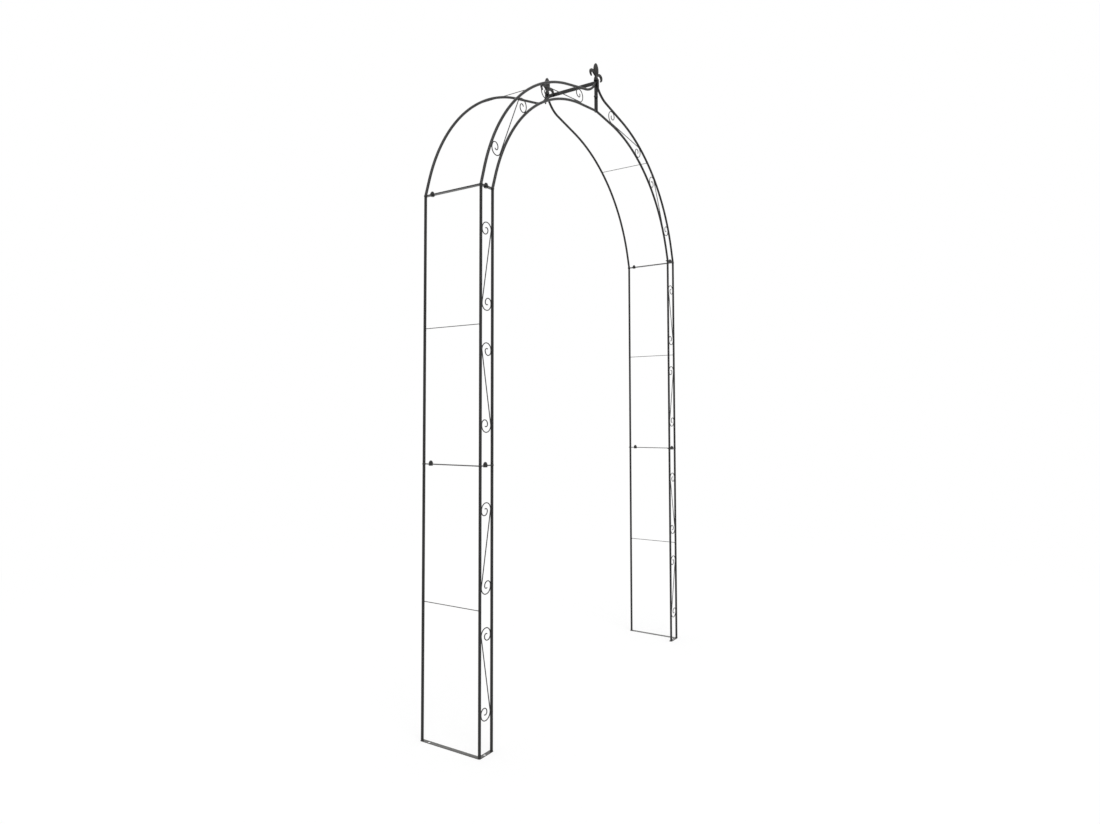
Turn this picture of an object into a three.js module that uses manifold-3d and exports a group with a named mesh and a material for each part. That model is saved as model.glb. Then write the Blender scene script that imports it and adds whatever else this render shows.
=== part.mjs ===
// Garden arch of bolted steel panels: two legs of L-shaped plan, a pointed arch in two halves
// and a ridge with a cast finial at each end.
// Millimetres. +Z is up, +X runs across the span and the scrolled face is at -Y.
// The origin is on the ground in the middle of the footprint.

import * as THREE from 'three';
import { mergeVertices } from 'three/addons/utils/BufferGeometryUtils.js';
import Module from 'manifold-3d';

const wasm = await Module();
wasm.setup();

// Frame, between the centre lines of the tubes
const SPAN = 1480;
const DEPTH = 250;
const FRONT_WIDTH = 60;
const PANEL_HEIGHT = 930;

// Arch, from the spring joint and the middle of the span
const SHOULDER_INSET = 127;
const SHOULDER_RISE = 451;
const SHOULDER_GAP = 73;
const OUTER_BEND_RADIUS = 686;
const INNER_BEND_RADIUS = 646;
const RIDGE_RISE = 633;
const KNEE_REACH = 39;
const KNEE_DROP = 49;
const KNEE_BEND_RADIUS = 124;
const CROWN_DROP = 121;

// Round stock and flat strip
const TUBE_DIAMETER = 10;
const WIRE_DIAMETER = 3;
const RUNG_DIAMETER = 3;
const ARCH_RUNG_INSET = 273;
const STRIP_WIDTH = 16;
const STRIP_THICKNESS = 1.5;
const STRIP_OVERHANG = 1;
const STRIP_INNER_RADIUS = 2;

// Scrolls: their height, the space between two, and how far a pair sits off its panel's middle
const SCROLL_HEIGHT = 300;
const LEG_SCROLL_SPACING = 104;
const LEG_SCROLL_DROP = 6;
const ARCH_SCROLL_SPACING = 127;
const ARCH_SCROLL_LIFT = 15;

// Bolts, each with a domed nut
const BOLT_DIAMETER = 8;
const HEX_ACROSS_FLATS = 13;
const HEAD_HEIGHT = 4;
const NUT_HEX_HEIGHT = 5;
const NUT_HEIGHT = 11;
const DOME_INSET = 0.5;
const SIDE_BOLT_FROM_BACK = 30;
const FRONT_BOLT_FROM_CORNER = 28;

// Finials, from the seat of the collar
const FINIAL_HEIGHT = 76;
const LEAF_WIDTH = 30;
const LEAF_HEIGHT = 59;
const LEAF_THICKNESS = 16;
const STEM_DIAMETER = 11;
const PETAL_REACH = 45;
const PETAL_LOW = 8;
const PETAL_HIGH = 34;
const PETAL_THICKNESS = 7;
const PETAL_BEVEL = 1.5;
const COLLAR_DIAMETER = 20;
const COLLAR_HEIGHT = 6;
const TANG_DIAMETER = 6;
const TANG_DROP = 30;

// Clearances and tolerances
const WELD_GAP = 0.3;
const HOLE_CLEARANCE = 1;
const END_TOLERANCE = 0.01;

// Shares of the straights beside a bend or a strip's corner
const BEND_ROOM_SHARE = 0.95;
const CORNER_ROOM_SHARE = 0.48;

// Shares of a scroll's loop and of a full turn
const EYE_DROP_SHARE = 0.17;
const EYE_RADIUS_SHARE = 0.64;
const TAIL_RADIUS_SHARE = 0.35;
const TAIL_TURN_SHARE = 0.35;

// Shares of a finial's sizes, across and up, and of the petals' reach
const LEAF_SHARES = [
  [0, 0], [0.4, 0.04], [0.7, 0.15], [0.95, 0.3], [1, 0.45], [0.96, 0.63], [0.76, 0.8], [0.42, 0.94], [0, 1],
];
const STEM_SHARES = [[0, 0], [1.65, 0], [1.6, 0.2], [1.1, 0.42], [1, 0.6], [0, 1]];
const COLLAR_SHARES = [[0, 0], [0.86, 0], [1, 0.3], [1, 0.7], [0.86, 1], [0, 1]];
const PETAL_PATH_SHARES = [
  [0.06, 0.4], [0.42, 0.88], [0.72, 1], [0.95, 0.82], [1, 0.46], [0.9, 0.16], [0.76, 0],
];
const PETAL_HALF_WIDTH_SHARES = [0.07, 0.11, 0.12, 0.105, 0.08, 0.055, 0.025];
const BEVEL_SIZE_SHARE = 0.5;

// Counts of faces
const TUBE_SIDES = 12;
const WIRE_SIDES = 6;
const SHOULDER_STEPS = 14;
const KNEE_STEPS = 5;
const LOOP_STEPS = 7;
const TAIL_STEPS = 5;
const CORNER_STEPS = 3;
const HOLE_SIDES = 8;
const ROUND_SIDES = 12;
const DOME_STEPS = 3;
const BAND_STEPS = 500;

const tubeRadius = TUBE_DIAMETER / 2;
const wireRadius = WIRE_DIAMETER / 2;
const halfSpan = SPAN / 2;
const halfDepth = DEPTH / 2;
const halfStrip = STRIP_WIDTH / 2;
const stripReach = tubeRadius + STRIP_OVERHANG;
const legStripInset = halfStrip - stripReach;
const springHeight = 2 * PANEL_HEIGHT;
const ridgeHeight = springHeight + RIDGE_RISE;
const apexBoltDrop = CROWN_DROP / 2;

const arch = new THREE.Group();

// A named piece in satin black paint
function addPiece(name, geometry) {
  const paint = new THREE.MeshStandardMaterial({ color: 0x2e2d2b, roughness: 0.5, metalness: 0.35 });
  const piece = new THREE.Mesh(geometry, paint);
  piece.name = name;
  arch.add(piece);
}

// Solids fused into one

function solidOf(geometry) {
  const bare = geometry.clone();
  bare.deleteAttribute('normal');
  bare.deleteAttribute('uv');
  const merged = mergeVertices(bare);
  const mesh = new wasm.Mesh({
    numProp: 3,
    vertProperties: new Float32Array(merged.attributes.position.array),
    triVerts: new Uint32Array(merged.index.array),
  });
  return new wasm.Manifold(mesh);
}

function fused(geometries) {
  const whole = geometries.map(solidOf).reduce((sum, solid) => sum.add(solid));
  const mesh = whole.getMesh();
  const geometry = new THREE.BufferGeometry();
  geometry.setAttribute('position', new THREE.BufferAttribute(mesh.vertProperties, 3));
  geometry.setIndex(new THREE.BufferAttribute(mesh.triVerts, 1));
  geometry.computeVertexNormals();
  return geometry;
}

// Lines in a plane

function vec(x, y) {
  return new THREE.Vector2(x, y);
}

function leftOf(heading) {
  return vec(-Math.sin(heading), Math.cos(heading));
}

function ringOf(radius, sides, centre) {
  const ring = [];
  for (let i = 0; i < sides; i += 1) {
    const angle = (i / sides) * 2 * Math.PI;
    ring.push(vec(centre.x + radius * Math.cos(angle), centre.y + radius * Math.sin(angle)));
  }
  return ring;
}

// Points of an arc that starts at a point with a heading and turns by a signed angle
function arcFrom(start, heading, radius, turn, steps) {
  const side = Math.sign(turn);
  const centre = start.clone().addScaledVector(leftOf(heading), side * radius);
  const points = [];
  for (let i = 1; i <= steps; i += 1) {
    const now = heading + (turn * i) / steps;
    points.push(centre.clone().addScaledVector(leftOf(now), -side * radius));
  }
  return points;
}

// A corner rounded by an arc, which may take up a share of the shorter straight beside it
function roundedCorner(before, corner, after, radius, steps, roomShare) {
  const into = corner.clone().sub(before);
  const out = after.clone().sub(corner);
  const turn = Math.atan2(into.cross(out), into.dot(out));
  const halfTurn = Math.tan(Math.abs(turn) / 2);
  const room = roomShare * Math.min(into.length(), out.length());
  const reach = Math.min(radius * halfTurn, room);
  const start = corner.clone().addScaledVector(into.clone().normalize(), -reach);
  return [start, ...arcFrom(start, into.angle(), reach / halfTurn, turn, steps)];
}

// A chain of straights, with an arc at each point between its ends
function bentLine(points, bends) {
  const line = [points[0]];
  bends.forEach(([radius, steps], i) => {
    const [before, corner, after] = points.slice(i, i + 3);
    line.push(...roundedCorner(before, corner, after, radius, steps, BEND_ROOM_SHARE));
  });
  line.push(points.at(-1));
  return line;
}

function spacedAlong(points, count) {
  const lengths = [0];
  for (let i = 1; i < points.length; i += 1) {
    lengths.push(lengths[i - 1] + points[i].distanceTo(points[i - 1]));
  }
  const spaced = [];
  let leg = 1;
  for (let i = 0; i <= count; i += 1) {
    const along = (lengths.at(-1) * i) / count;
    while (leg < points.length - 1 && lengths[leg] < along) {
      leg += 1;
    }
    const share = (along - lengths[leg - 1]) / (lengths[leg] - lengths[leg - 1]);
    spaced.push(points[leg - 1].clone().lerp(points[leg], share));
  }
  return spaced;
}

// A path through given stations, so that a straight of a swept rod stays one step long
class Route extends THREE.Curve {
  constructor(stations) {
    super();
    this.stations = stations;
  }

  indexOf(share) {
    return Math.round(share * (this.stations.length - 1));
  }

  getPointAt(share) {
    return this.stations[this.indexOf(share)].clone();
  }

  getTangentAt(share) {
    const at = this.indexOf(share);
    const heading = new THREE.Vector3();
    if (at > 0) {
      heading.add(this.stations[at].clone().sub(this.stations[at - 1]).normalize());
    }
    if (at < this.stations.length - 1) {
      heading.add(this.stations[at + 1].clone().sub(this.stations[at]).normalize());
    }
    return heading.normalize();
  }
}

function sweptRod(stations, radius, sides) {
  return new THREE.ExtrudeGeometry(new THREE.Shape(ringOf(radius, sides, vec(0, 0))), {
    steps: stations.length - 1,
    extrudePath: new Route(stations),
  });
}

// Slides a tube's end ring along the tube until it lies on a plane, as a mitre saw leaves it
function mitreEnd(tube, end, inside, plane) {
  const heading = end.clone().sub(inside).normalize();
  const corners = tube.attributes.position;
  const corner = new THREE.Vector3();
  for (let i = 0; i < corners.count; i += 1) {
    corner.fromBufferAttribute(corners, i);
    if (corner.distanceTo(end) < tubeRadius + END_TOLERANCE) {
      corner.addScaledVector(heading, -plane.distanceToPoint(corner) / plane.normal.dot(heading));
      corners.setXYZ(i, corner.x, corner.y, corner.z);
    }
  }
  return tube;
}

// A line of the front face, mirrored to its side of the span
function inFace(points, side, y, base) {
  return points.map((point) => new THREE.Vector3(side * point.x, y, base + point.y));
}

// Flat strip in the shape of an L, whose arms run up and across from the corner; the lines of
// the tubes run at zero, and the middle of the strip lies inward of them by an inset

function stripOutline(longArm, shortArm, inset) {
  const outer = inset - halfStrip;
  const inner = inset + halfStrip;
  const longEnd = longArm + stripReach;
  const shortEnd = shortArm + stripReach;
  const corners = [
    [vec(outer, longEnd), stripReach],
    [vec(outer, outer), stripReach],
    [vec(shortEnd, outer), stripReach],
    [vec(shortEnd, inner), stripReach],
    [vec(inner, inner), STRIP_INNER_RADIUS],
    [vec(inner, longEnd), stripReach],
  ];
  return corners.flatMap(([corner, radius], i) => {
    const [before] = corners.at(i - 1);
    const [after] = corners[(i + 1) % corners.length];
    return roundedCorner(before, corner, after, radius, CORNER_STEPS, CORNER_ROOM_SHARE);
  });
}

// The bolt holes are at a place along the long arm and at one along the short arm
function stripPlate([longArm, longHole], [shortArm, shortHole], inset) {
  const shape = new THREE.Shape(stripOutline(longArm, shortArm, inset));
  const holeRadius = (BOLT_DIAMETER + HOLE_CLEARANCE) / 2 / Math.cos(Math.PI / HOLE_SIDES);
  [vec(inset, longHole), vec(shortHole, inset)].forEach((centre) => {
    shape.holes.push(new THREE.Path(ringOf(holeRadius, HOLE_SIDES, centre)));
  });
  return new THREE.ExtrudeGeometry(shape, { depth: STRIP_THICKNESS, bevelEnabled: false });
}

function turnInsideOut(geometry) {
  const corners = geometry.attributes.position;
  const first = new THREE.Vector3();
  const third = new THREE.Vector3();
  for (let i = 0; i < corners.count; i += 3) {
    first.fromBufferAttribute(corners, i);
    third.fromBufferAttribute(corners, i + 2);
    corners.setXYZ(i, third.x, third.y, third.z);
    corners.setXYZ(i + 2, first.x, first.y, first.z);
  }
  geometry.computeVertexNormals();
}

// Puts a plate's corner in its place, with its arms and its face along the given axes
function placedPlate(plate, shortAxis, longAxis, faceAxis, corner) {
  const place = new THREE.Matrix4().makeBasis(shortAxis, longAxis, faceAxis).setPosition(corner);
  plate.applyMatrix4(place);
  if (place.determinant() < 0) {
    turnInsideOut(plate);
  }
  return plate;
}

function legStrip(side, floor) {
  const longArm = [DEPTH, DEPTH - SIDE_BOLT_FROM_BACK];
  const plate = stripPlate(longArm, [FRONT_WIDTH, FRONT_BOLT_FROM_CORNER], legStripInset);
  const corner = new THREE.Vector3(side * halfSpan, -halfDepth, floor);
  const inward = new THREE.Vector3(-side, 0, 0);
  const back = new THREE.Vector3(0, 1, 0);
  return placedPlate(plate, inward, back, new THREE.Vector3(0, 0, 1), corner);
}

function apexStrip(side) {
  const plate = stripPlate([DEPTH, DEPTH - SIDE_BOLT_FROM_BACK], [CROWN_DROP, apexBoltDrop], 0);
  const corner = new THREE.Vector3(0, -halfDepth, ridgeHeight);
  const down = new THREE.Vector3(0, 0, -1);
  const back = new THREE.Vector3(0, 1, 0);
  return placedPlate(plate, down, back, new THREE.Vector3(side, 0, 0), corner);
}

// Scrolls: a straight run that touches a loop at each end, with a curl inside each loop

function voluteFrom(start, heading, lastHeading, sense, radius) {
  const fullTurn = 2 * Math.PI;
  const loopTurn = ((((lastHeading - heading) * sense) % fullTurn) + fullTurn) % fullTurn;
  const loop = arcFrom(start, heading, radius, sense * loopTurn, LOOP_STEPS);
  const drop = vec(Math.cos(lastHeading), Math.sin(lastHeading)).multiplyScalar(EYE_DROP_SHARE * radius);
  const eyeStart = loop.at(-1).clone().add(drop);
  const eye = arcFrom(eyeStart, lastHeading, EYE_RADIUS_SHARE * radius, sense * Math.PI, LOOP_STEPS);
  const tailTurn = sense * TAIL_TURN_SHARE * fullTurn;
  const tail = arcFrom(eye.at(-1), lastHeading + Math.PI, TAIL_RADIUS_SHARE * radius, tailTurn, TAIL_STEPS);
  return [start, ...loop, eyeStart, ...eye, ...tail];
}

// Where a straight line from a point, or from the rim of a loop, meets the far loop
function meetLoop(from, fromRadius, far, sense) {
  const chord = far.centre.clone().sub(from);
  const heading = chord.angle() - sense * Math.asin((fromRadius + far.radius) / chord.length());
  const place = far.centre.clone().addScaledVector(leftOf(heading), -sense * far.radius);
  return { place, heading };
}

// The guides that a run has to follow before a straight line to the far loop clears the next one
function followedGuides(guides, far, sense) {
  const last = guides.slice(1).findIndex((next, i) => {
    const across = leftOf(meetLoop(guides[i], 0, far, sense).heading);
    return sense * across.dot(next.clone().sub(guides[i])) >= 0;
  });
  return guides.slice(1, Math.max(last, 0) + 1);
}

// Each end has the centre and radius of its loop, and the heading from there to the other end.
// The run leaves the near loop on the guides' side and meets the far loop on its other side.
function scrollLine(near, far, sense, guides) {
  const bends = followedGuides(guides, far, sense);
  const straight = meetLoop(near.centre, near.radius, far, sense);
  const meet = bends.length > 0 ? meetLoop(bends.at(-1), 0, far, sense) : straight;
  const leaving = bends.length > 0 ? near.heading : straight.heading;
  const leave = near.centre.clone().addScaledVector(leftOf(leaving), sense * near.radius);
  const first = voluteFrom(leave, leaving + Math.PI, near.heading, sense, near.radius);
  const last = voluteFrom(meet.place, meet.heading, far.heading, sense, far.radius);
  return [...first.reverse(), ...bends, ...last];
}

function addScroll(name, side, line, base) {
  addPiece(name, sweptRod(inFace(line, side, -halfDepth, base), wireRadius, WIRE_SIDES));
}

// Leg panels

function addPost(name, x, y, floor) {
  const foot = new THREE.Vector3(x, y, floor + STRIP_THICKNESS);
  const head = new THREE.Vector3(x, y, floor + PANEL_HEIGHT - STRIP_THICKNESS);
  addPiece(name, sweptRod([foot, head], tubeRadius, TUBE_SIDES));
}

function addRung(name, x, z) {
  const reach = halfDepth - tubeRadius - WELD_GAP;
  const ends = [new THREE.Vector3(x, -reach, z), new THREE.Vector3(x, reach, z)];
  addPiece(name, sweptRod(ends, RUNG_DIAMETER / 2, WIRE_SIDES));
}

function legScrollLine(order) {
  const x = halfSpan - FRONT_WIDTH / 2;
  const inset = FRONT_WIDTH / 2 - tubeRadius - WELD_GAP;
  const radius = inset - wireRadius;
  const margin = (PANEL_HEIGHT - 2 * SCROLL_HEIGHT - LEG_SCROLL_SPACING) / 2;
  const bottom = margin - LEG_SCROLL_DROP + order * (SCROLL_HEIGHT + LEG_SCROLL_SPACING);
  const low = { centre: vec(x, bottom + inset), radius, heading: Math.PI / 2 };
  const high = { centre: vec(x, bottom + SCROLL_HEIGHT - inset), radius, heading: -Math.PI / 2 };
  return scrollLine(low, high, order === 0 ? 1 : -1, []);
}

function addLegPanel(sideName, side, levelName, level) {
  const name = `${sideName}_${levelName}`;
  const floor = level * PANEL_HEIGHT;
  const cornerX = side * halfSpan;
  addPiece(`${name}_bottom_strip`, legStrip(side, floor));
  addPiece(`${name}_top_strip`, legStrip(side, floor + PANEL_HEIGHT - STRIP_THICKNESS));
  addPost(`${name}_back_post`, cornerX, halfDepth, floor);
  addPost(`${name}_corner_post`, cornerX, -halfDepth, floor);
  addPost(`${name}_inner_post`, side * (halfSpan - FRONT_WIDTH), -halfDepth, floor);
  addRung(`${name}_rung`, cornerX, floor + PANEL_HEIGHT / 2);
  addScroll(`${name}_low_scroll`, side, legScrollLine(0), floor);
  addScroll(`${name}_high_scroll`, side, legScrollLine(1), floor);
}

// Arch halves

const shoulder = vec(halfSpan - SHOULDER_INSET, SHOULDER_RISE);
const outerLine = bentLine(
  [
    vec(halfSpan, STRIP_THICKNESS),
    shoulder,
    vec(KNEE_REACH, RIDGE_RISE - KNEE_DROP),
    vec(STRIP_THICKNESS, RIDGE_RISE),
  ],
  [[OUTER_BEND_RADIUS, SHOULDER_STEPS], [KNEE_BEND_RADIUS, KNEE_STEPS]],
);
const innerLine = bentLine(
  [
    vec(halfSpan - FRONT_WIDTH, STRIP_THICKNESS),
    vec(shoulder.x - SHOULDER_GAP, SHOULDER_RISE),
    vec(STRIP_THICKNESS, RIDGE_RISE - CROWN_DROP),
  ],
  [[INNER_BEND_RADIUS, SHOULDER_STEPS]],
);

function archTube(line, side, y) {
  const route = inFace(line, side, y, springHeight);
  const tube = sweptRod(route, tubeRadius, TUBE_SIDES);
  const springPlane = new THREE.Plane(new THREE.Vector3(0, 0, 1), -(springHeight + STRIP_THICKNESS));
  const apexPlane = new THREE.Plane(new THREE.Vector3(side, 0, 0), -STRIP_THICKNESS);
  mitreEnd(tube, route[0], route[1], springPlane);
  return mitreEnd(tube, route.at(-1), route.at(-2), apexPlane);
}

// Places midway between the two front tubes, with the radius of the loop that fits there
function bandPlaces() {
  const outer = spacedAlong(outerLine, BAND_STEPS);
  const places = spacedAlong(innerLine, BAND_STEPS).map((point) => {
    const nearest = outer.reduce((best, other) => (
      other.distanceToSquared(point) < best.distanceToSquared(point) ? other : best));
    const radius = point.distanceTo(nearest) / 2 - tubeRadius - WELD_GAP - wireRadius;
    return { centre: point.clone().lerp(nearest, 0.5), radius };
  });
  return places.slice(0, -1).map((place, i) => {
    const heading = places[i + 1].centre.clone().sub(place.centre).angle();
    return { ...place, heading };
  });
}

const band = bandPlaces();

function placeBeyond(start, distance) {
  const beyond = band.slice(band.indexOf(start));
  return beyond.find((place) => place.centre.distanceTo(start.centre) >= distance);
}

function archScrollEnds() {
  const length = band.reduce((sum, { centre }, i) => (
    i > 0 ? sum + centre.distanceTo(band[i - 1].centre) : sum), 0);
  const inset = FRONT_WIDTH / 2 - tubeRadius - WELD_GAP;
  const margin = (length - 2 * SCROLL_HEIGHT - ARCH_SCROLL_SPACING) / 2;
  const first = placeBeyond(band[0], margin + ARCH_SCROLL_LIFT + inset);
  const second = placeBeyond(first, SCROLL_HEIGHT - 2 * inset);
  const third = placeBeyond(second, ARCH_SCROLL_SPACING + 2 * inset);
  const fourth = placeBeyond(third, SCROLL_HEIGHT - 2 * inset);
  return [[first, second], [third, fourth]];
}

const [lowScrollEnds, highScrollEnds] = archScrollEnds();

// A scroll that leaves its low end on the inner tube's side, or its high end if the sense is -1
function archScrollLine([low, high], sense) {
  const down = { ...high, heading: high.heading + Math.PI };
  const besideInnerTube = band.slice(band.indexOf(low), band.indexOf(high)).map((place) => (
    place.centre.clone().addScaledVector(leftOf(place.heading), place.radius)));
  return sense > 0
    ? scrollLine(low, down, sense, besideInnerTube)
    : scrollLine(down, low, sense, besideInnerTube.reverse());
}

// The height on the outer tube's centre line at a distance from the middle of the span
function outerHeightAt(x) {
  const next = outerLine.findIndex((point) => point.x <= x);
  const from = outerLine[next - 1];
  const to = outerLine[next];
  return from.y + ((to.y - from.y) * (from.x - x)) / (from.x - to.x);
}

function addArchHalf(sideName, side) {
  const name = `${sideName}_arch`;
  const rungX = halfSpan - ARCH_RUNG_INSET;
  addPiece(`${name}_spring_strip`, legStrip(side, springHeight));
  addPiece(`${name}_apex_strip`, apexStrip(side));
  addPiece(`${name}_back_tube`, archTube(outerLine, side, halfDepth));
  addPiece(`${name}_front_tube`, archTube(outerLine, side, -halfDepth));
  addPiece(`${name}_inner_tube`, archTube(innerLine, side, -halfDepth));
  addRung(`${name}_rung`, side * rungX, springHeight + outerHeightAt(rungX));
  addScroll(`${name}_low_scroll`, side, archScrollLine(lowScrollEnds, 1), springHeight);
  addScroll(`${name}_high_scroll`, side, archScrollLine(highScrollEnds, -1), springHeight);
}

// Bolts: the axis is +Z and the joint between the two strips is at zero

function hexPrism(floor, height) {
  const cornerRadius = HEX_ACROSS_FLATS / 2 / Math.cos(Math.PI / 6);
  const prism = new THREE.CylinderGeometry(cornerRadius, cornerRadius, height, 6);
  prism.rotateX(Math.PI / 2);
  return prism.translate(0, 0, floor + height / 2);
}

function domedShank() {
  const domeRadius = HEX_ACROSS_FLATS / 2 - DOME_INSET;
  const nutTop = STRIP_THICKNESS + NUT_HEIGHT;
  const inHead = -STRIP_THICKNESS - HEAD_HEIGHT / 2;
  const inNut = STRIP_THICKNESS + NUT_HEX_HEIGHT / 2;
  const profile = [
    vec(0, inHead),
    vec(BOLT_DIAMETER / 2, inHead),
    vec(BOLT_DIAMETER / 2, inNut),
    vec(domeRadius, inNut),
  ];
  for (let i = 0; i < DOME_STEPS; i += 1) {
    const angle = (i / DOME_STEPS) * (Math.PI / 2);
    profile.push(vec(domeRadius * Math.cos(angle), nutTop - domeRadius * (1 - Math.sin(angle))));
  }
  profile.push(vec(0, nutTop));
  return new THREE.LatheGeometry(profile, ROUND_SIDES).rotateX(Math.PI / 2);
}

function boltSet() {
  return fused([
    domedShank(),
    hexPrism(-STRIP_THICKNESS - HEAD_HEIGHT, HEAD_HEIGHT),
    hexPrism(STRIP_THICKNESS, NUT_HEX_HEIGHT),
  ]);
}

function addLegBolts(name, side, height) {
  const frontX = side * (halfSpan - FRONT_BOLT_FROM_CORNER);
  const sideX = side * (halfSpan - legStripInset);
  const sideY = halfDepth - SIDE_BOLT_FROM_BACK;
  addPiece(`${name}_front_bolt`, boltSet().translate(frontX, legStripInset - halfDepth, height));
  addPiece(`${name}_side_bolt`, boltSet().translate(sideX, sideY, height));
}

function addApexBolts() {
  const postBolt = boltSet().rotateY(-Math.PI / 2);
  const ridgeBolt = boltSet().rotateY(-Math.PI / 2);
  addPiece('apex_post_bolt', postBolt.translate(0, -halfDepth, ridgeHeight - apexBoltDrop));
  addPiece('apex_ridge_bolt', ridgeBolt.translate(0, halfDepth - SIDE_BOLT_FROM_BACK, ridgeHeight));
}

// Finials: a leaf between two drooping petals on a stem, with a collar that sits on the ridge
// and a tang that runs down behind the ridge's end

function turned(shares, diameter, floor, height) {
  const profile = shares.map(([across, up]) => vec((across * diameter) / 2, floor + up * height));
  return new THREE.LatheGeometry(profile, ROUND_SIDES).rotateX(Math.PI / 2);
}

function leaf() {
  const whole = turned(LEAF_SHARES, LEAF_WIDTH, FINIAL_HEIGHT - LEAF_HEIGHT, LEAF_HEIGHT);
  return whole.scale(1, LEAF_THICKNESS / LEAF_WIDTH, 1);
}

// The third number of each place is half the petal's width there
function petalOutline(side) {
  const places = PETAL_PATH_SHARES.map(([across, up], i) => {
    const height = PETAL_LOW + up * (PETAL_HIGH - PETAL_LOW);
    return new THREE.Vector3(side * across * PETAL_REACH, height, PETAL_HALF_WIDTH_SHARES[i] * PETAL_REACH);
  });
  const spine = new THREE.CatmullRomCurve3(places).getPoints(2 * (places.length - 1));
  const oneEdge = [];
  const otherEdge = [];
  spine.forEach((place, i) => {
    const before = spine[Math.max(i - 1, 0)];
    const after = spine[Math.min(i + 1, spine.length - 1)];
    const normal = leftOf(Math.atan2(after.y - before.y, after.x - before.x));
    const half = place.z - BEVEL_SIZE_SHARE * PETAL_BEVEL;
    oneEdge.push(vec(place.x, place.y).addScaledVector(normal, half));
    otherEdge.unshift(vec(place.x, place.y).addScaledVector(normal, -half));
  });
  return [...oneEdge, ...otherEdge];
}

function petal(side) {
  const solid = new THREE.ExtrudeGeometry(new THREE.Shape(petalOutline(side)), {
    depth: PETAL_THICKNESS - 2 * PETAL_BEVEL,
    bevelThickness: PETAL_BEVEL,
    bevelSize: BEVEL_SIZE_SHARE * PETAL_BEVEL,
    bevelSegments: 1,
  });
  return solid.translate(0, 0, PETAL_BEVEL - PETAL_THICKNESS / 2).rotateX(Math.PI / 2);
}

function tang(offset, seat) {
  const top = COLLAR_HEIGHT / 2;
  const length = top + seat + TANG_DROP;
  const bar = new THREE.CylinderGeometry(TANG_DIAMETER / 2, TANG_DIAMETER / 2, length, ROUND_SIDES);
  return bar.rotateX(Math.PI / 2).translate(0, offset, top - length / 2);
}

// The finial clears the ridge strips and the mitred tube ends; the tang clears the strips' edge
function finial(end, stripEdge) {
  const tubeRise = Math.hypot(1, KNEE_DROP / (KNEE_REACH - STRIP_THICKNESS)) * tubeRadius;
  const seat = Math.max(halfStrip, tubeRise) + WELD_GAP;
  const tangOffset = end * (stripEdge + WELD_GAP + TANG_DIAMETER / 2);
  const whole = fused([
    turned(COLLAR_SHARES, COLLAR_DIAMETER, 0, COLLAR_HEIGHT),
    turned(STEM_SHARES, STEM_DIAMETER, COLLAR_HEIGHT / 2, FINIAL_HEIGHT / 2),
    leaf(),
    petal(-1),
    petal(1),
    tang(tangOffset, seat),
  ]);
  return whole.translate(0, end * halfDepth, ridgeHeight + seat);
}

[['left', -1], ['right', 1]].forEach(([sideName, side]) => {
  addLegPanel(sideName, side, 'lower', 0);
  addLegPanel(sideName, side, 'upper', 1);
  addArchHalf(sideName, side);
  addLegBolts(`${sideName}_knee`, side, PANEL_HEIGHT);
  addLegBolts(`${sideName}_spring`, side, springHeight);
});
addApexBolts();
addPiece('front_finial', finial(-1, halfStrip));
addPiece('back_finial', finial(1, stripReach));

export default arch;
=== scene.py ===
"""A garden arch of bolted steel panels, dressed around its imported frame.

Lengths are in metres. +Z is up, +X runs across the span, the scrolled face is at -Y and the origin is
on the ground in the middle of the footprint. Lines in the scrolled face are rows of complex numbers,
whose real part runs across the span and whose imaginary part runs up.
"""

import logging
from dataclasses import dataclass, field
from enum import Enum
from itertools import product
from typing import Sequence

import bpy
import numpy as np
from mathutils import Matrix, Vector
from mathutils.geometry import tessellate_polygon


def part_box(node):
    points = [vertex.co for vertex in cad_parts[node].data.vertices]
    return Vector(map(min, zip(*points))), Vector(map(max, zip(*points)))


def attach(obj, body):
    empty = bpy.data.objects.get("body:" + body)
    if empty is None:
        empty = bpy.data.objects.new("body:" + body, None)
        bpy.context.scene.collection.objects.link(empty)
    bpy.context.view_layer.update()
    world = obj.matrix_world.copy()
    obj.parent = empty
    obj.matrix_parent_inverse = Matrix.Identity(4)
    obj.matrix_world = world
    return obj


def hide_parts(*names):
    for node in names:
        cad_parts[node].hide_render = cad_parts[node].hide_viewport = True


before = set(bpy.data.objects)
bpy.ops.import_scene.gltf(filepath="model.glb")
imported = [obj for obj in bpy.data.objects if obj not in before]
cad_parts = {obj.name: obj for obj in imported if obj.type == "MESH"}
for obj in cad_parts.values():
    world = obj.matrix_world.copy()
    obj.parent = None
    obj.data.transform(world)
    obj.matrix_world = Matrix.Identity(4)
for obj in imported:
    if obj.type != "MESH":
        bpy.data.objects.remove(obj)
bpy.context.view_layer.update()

LOG = logging.getLogger("garden_arch")
Array = np.ndarray
Socket = bpy.types.NodeSocket

FULL_TURN = 2 * np.pi
QUARTER_TURN = FULL_TURN / 4
MM = 0.001
ACROSS, DEEP, UP = np.eye(3)
WHITE = (1.0, 1.0, 1.0, 1.0)

# Points in a ring
TUBE_SIDES = 32
RUNG_SIDES = 16
WIRE_SIDES = 14
FRAME_WIRE_SIDES = 6
TANG_SIDES = 32
SHANK_SIDES = 24
HOLE_SIDES = 24
FOOT_SIDES = 54
BEAD_SIDES = 10
TACK_SIDES = 12
BOLT_SIDES = 72
LEAF_SIDES = 96
PETAL_SIDES = 64
TURNED_SIDES = 64

# Rings in a rounded end, a rolled edge, a tack and a nut's dome
END_RINGS = 5
EDGE_RINGS = 4
TACK_RINGS = 17
DOME_RINGS = 13

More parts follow.
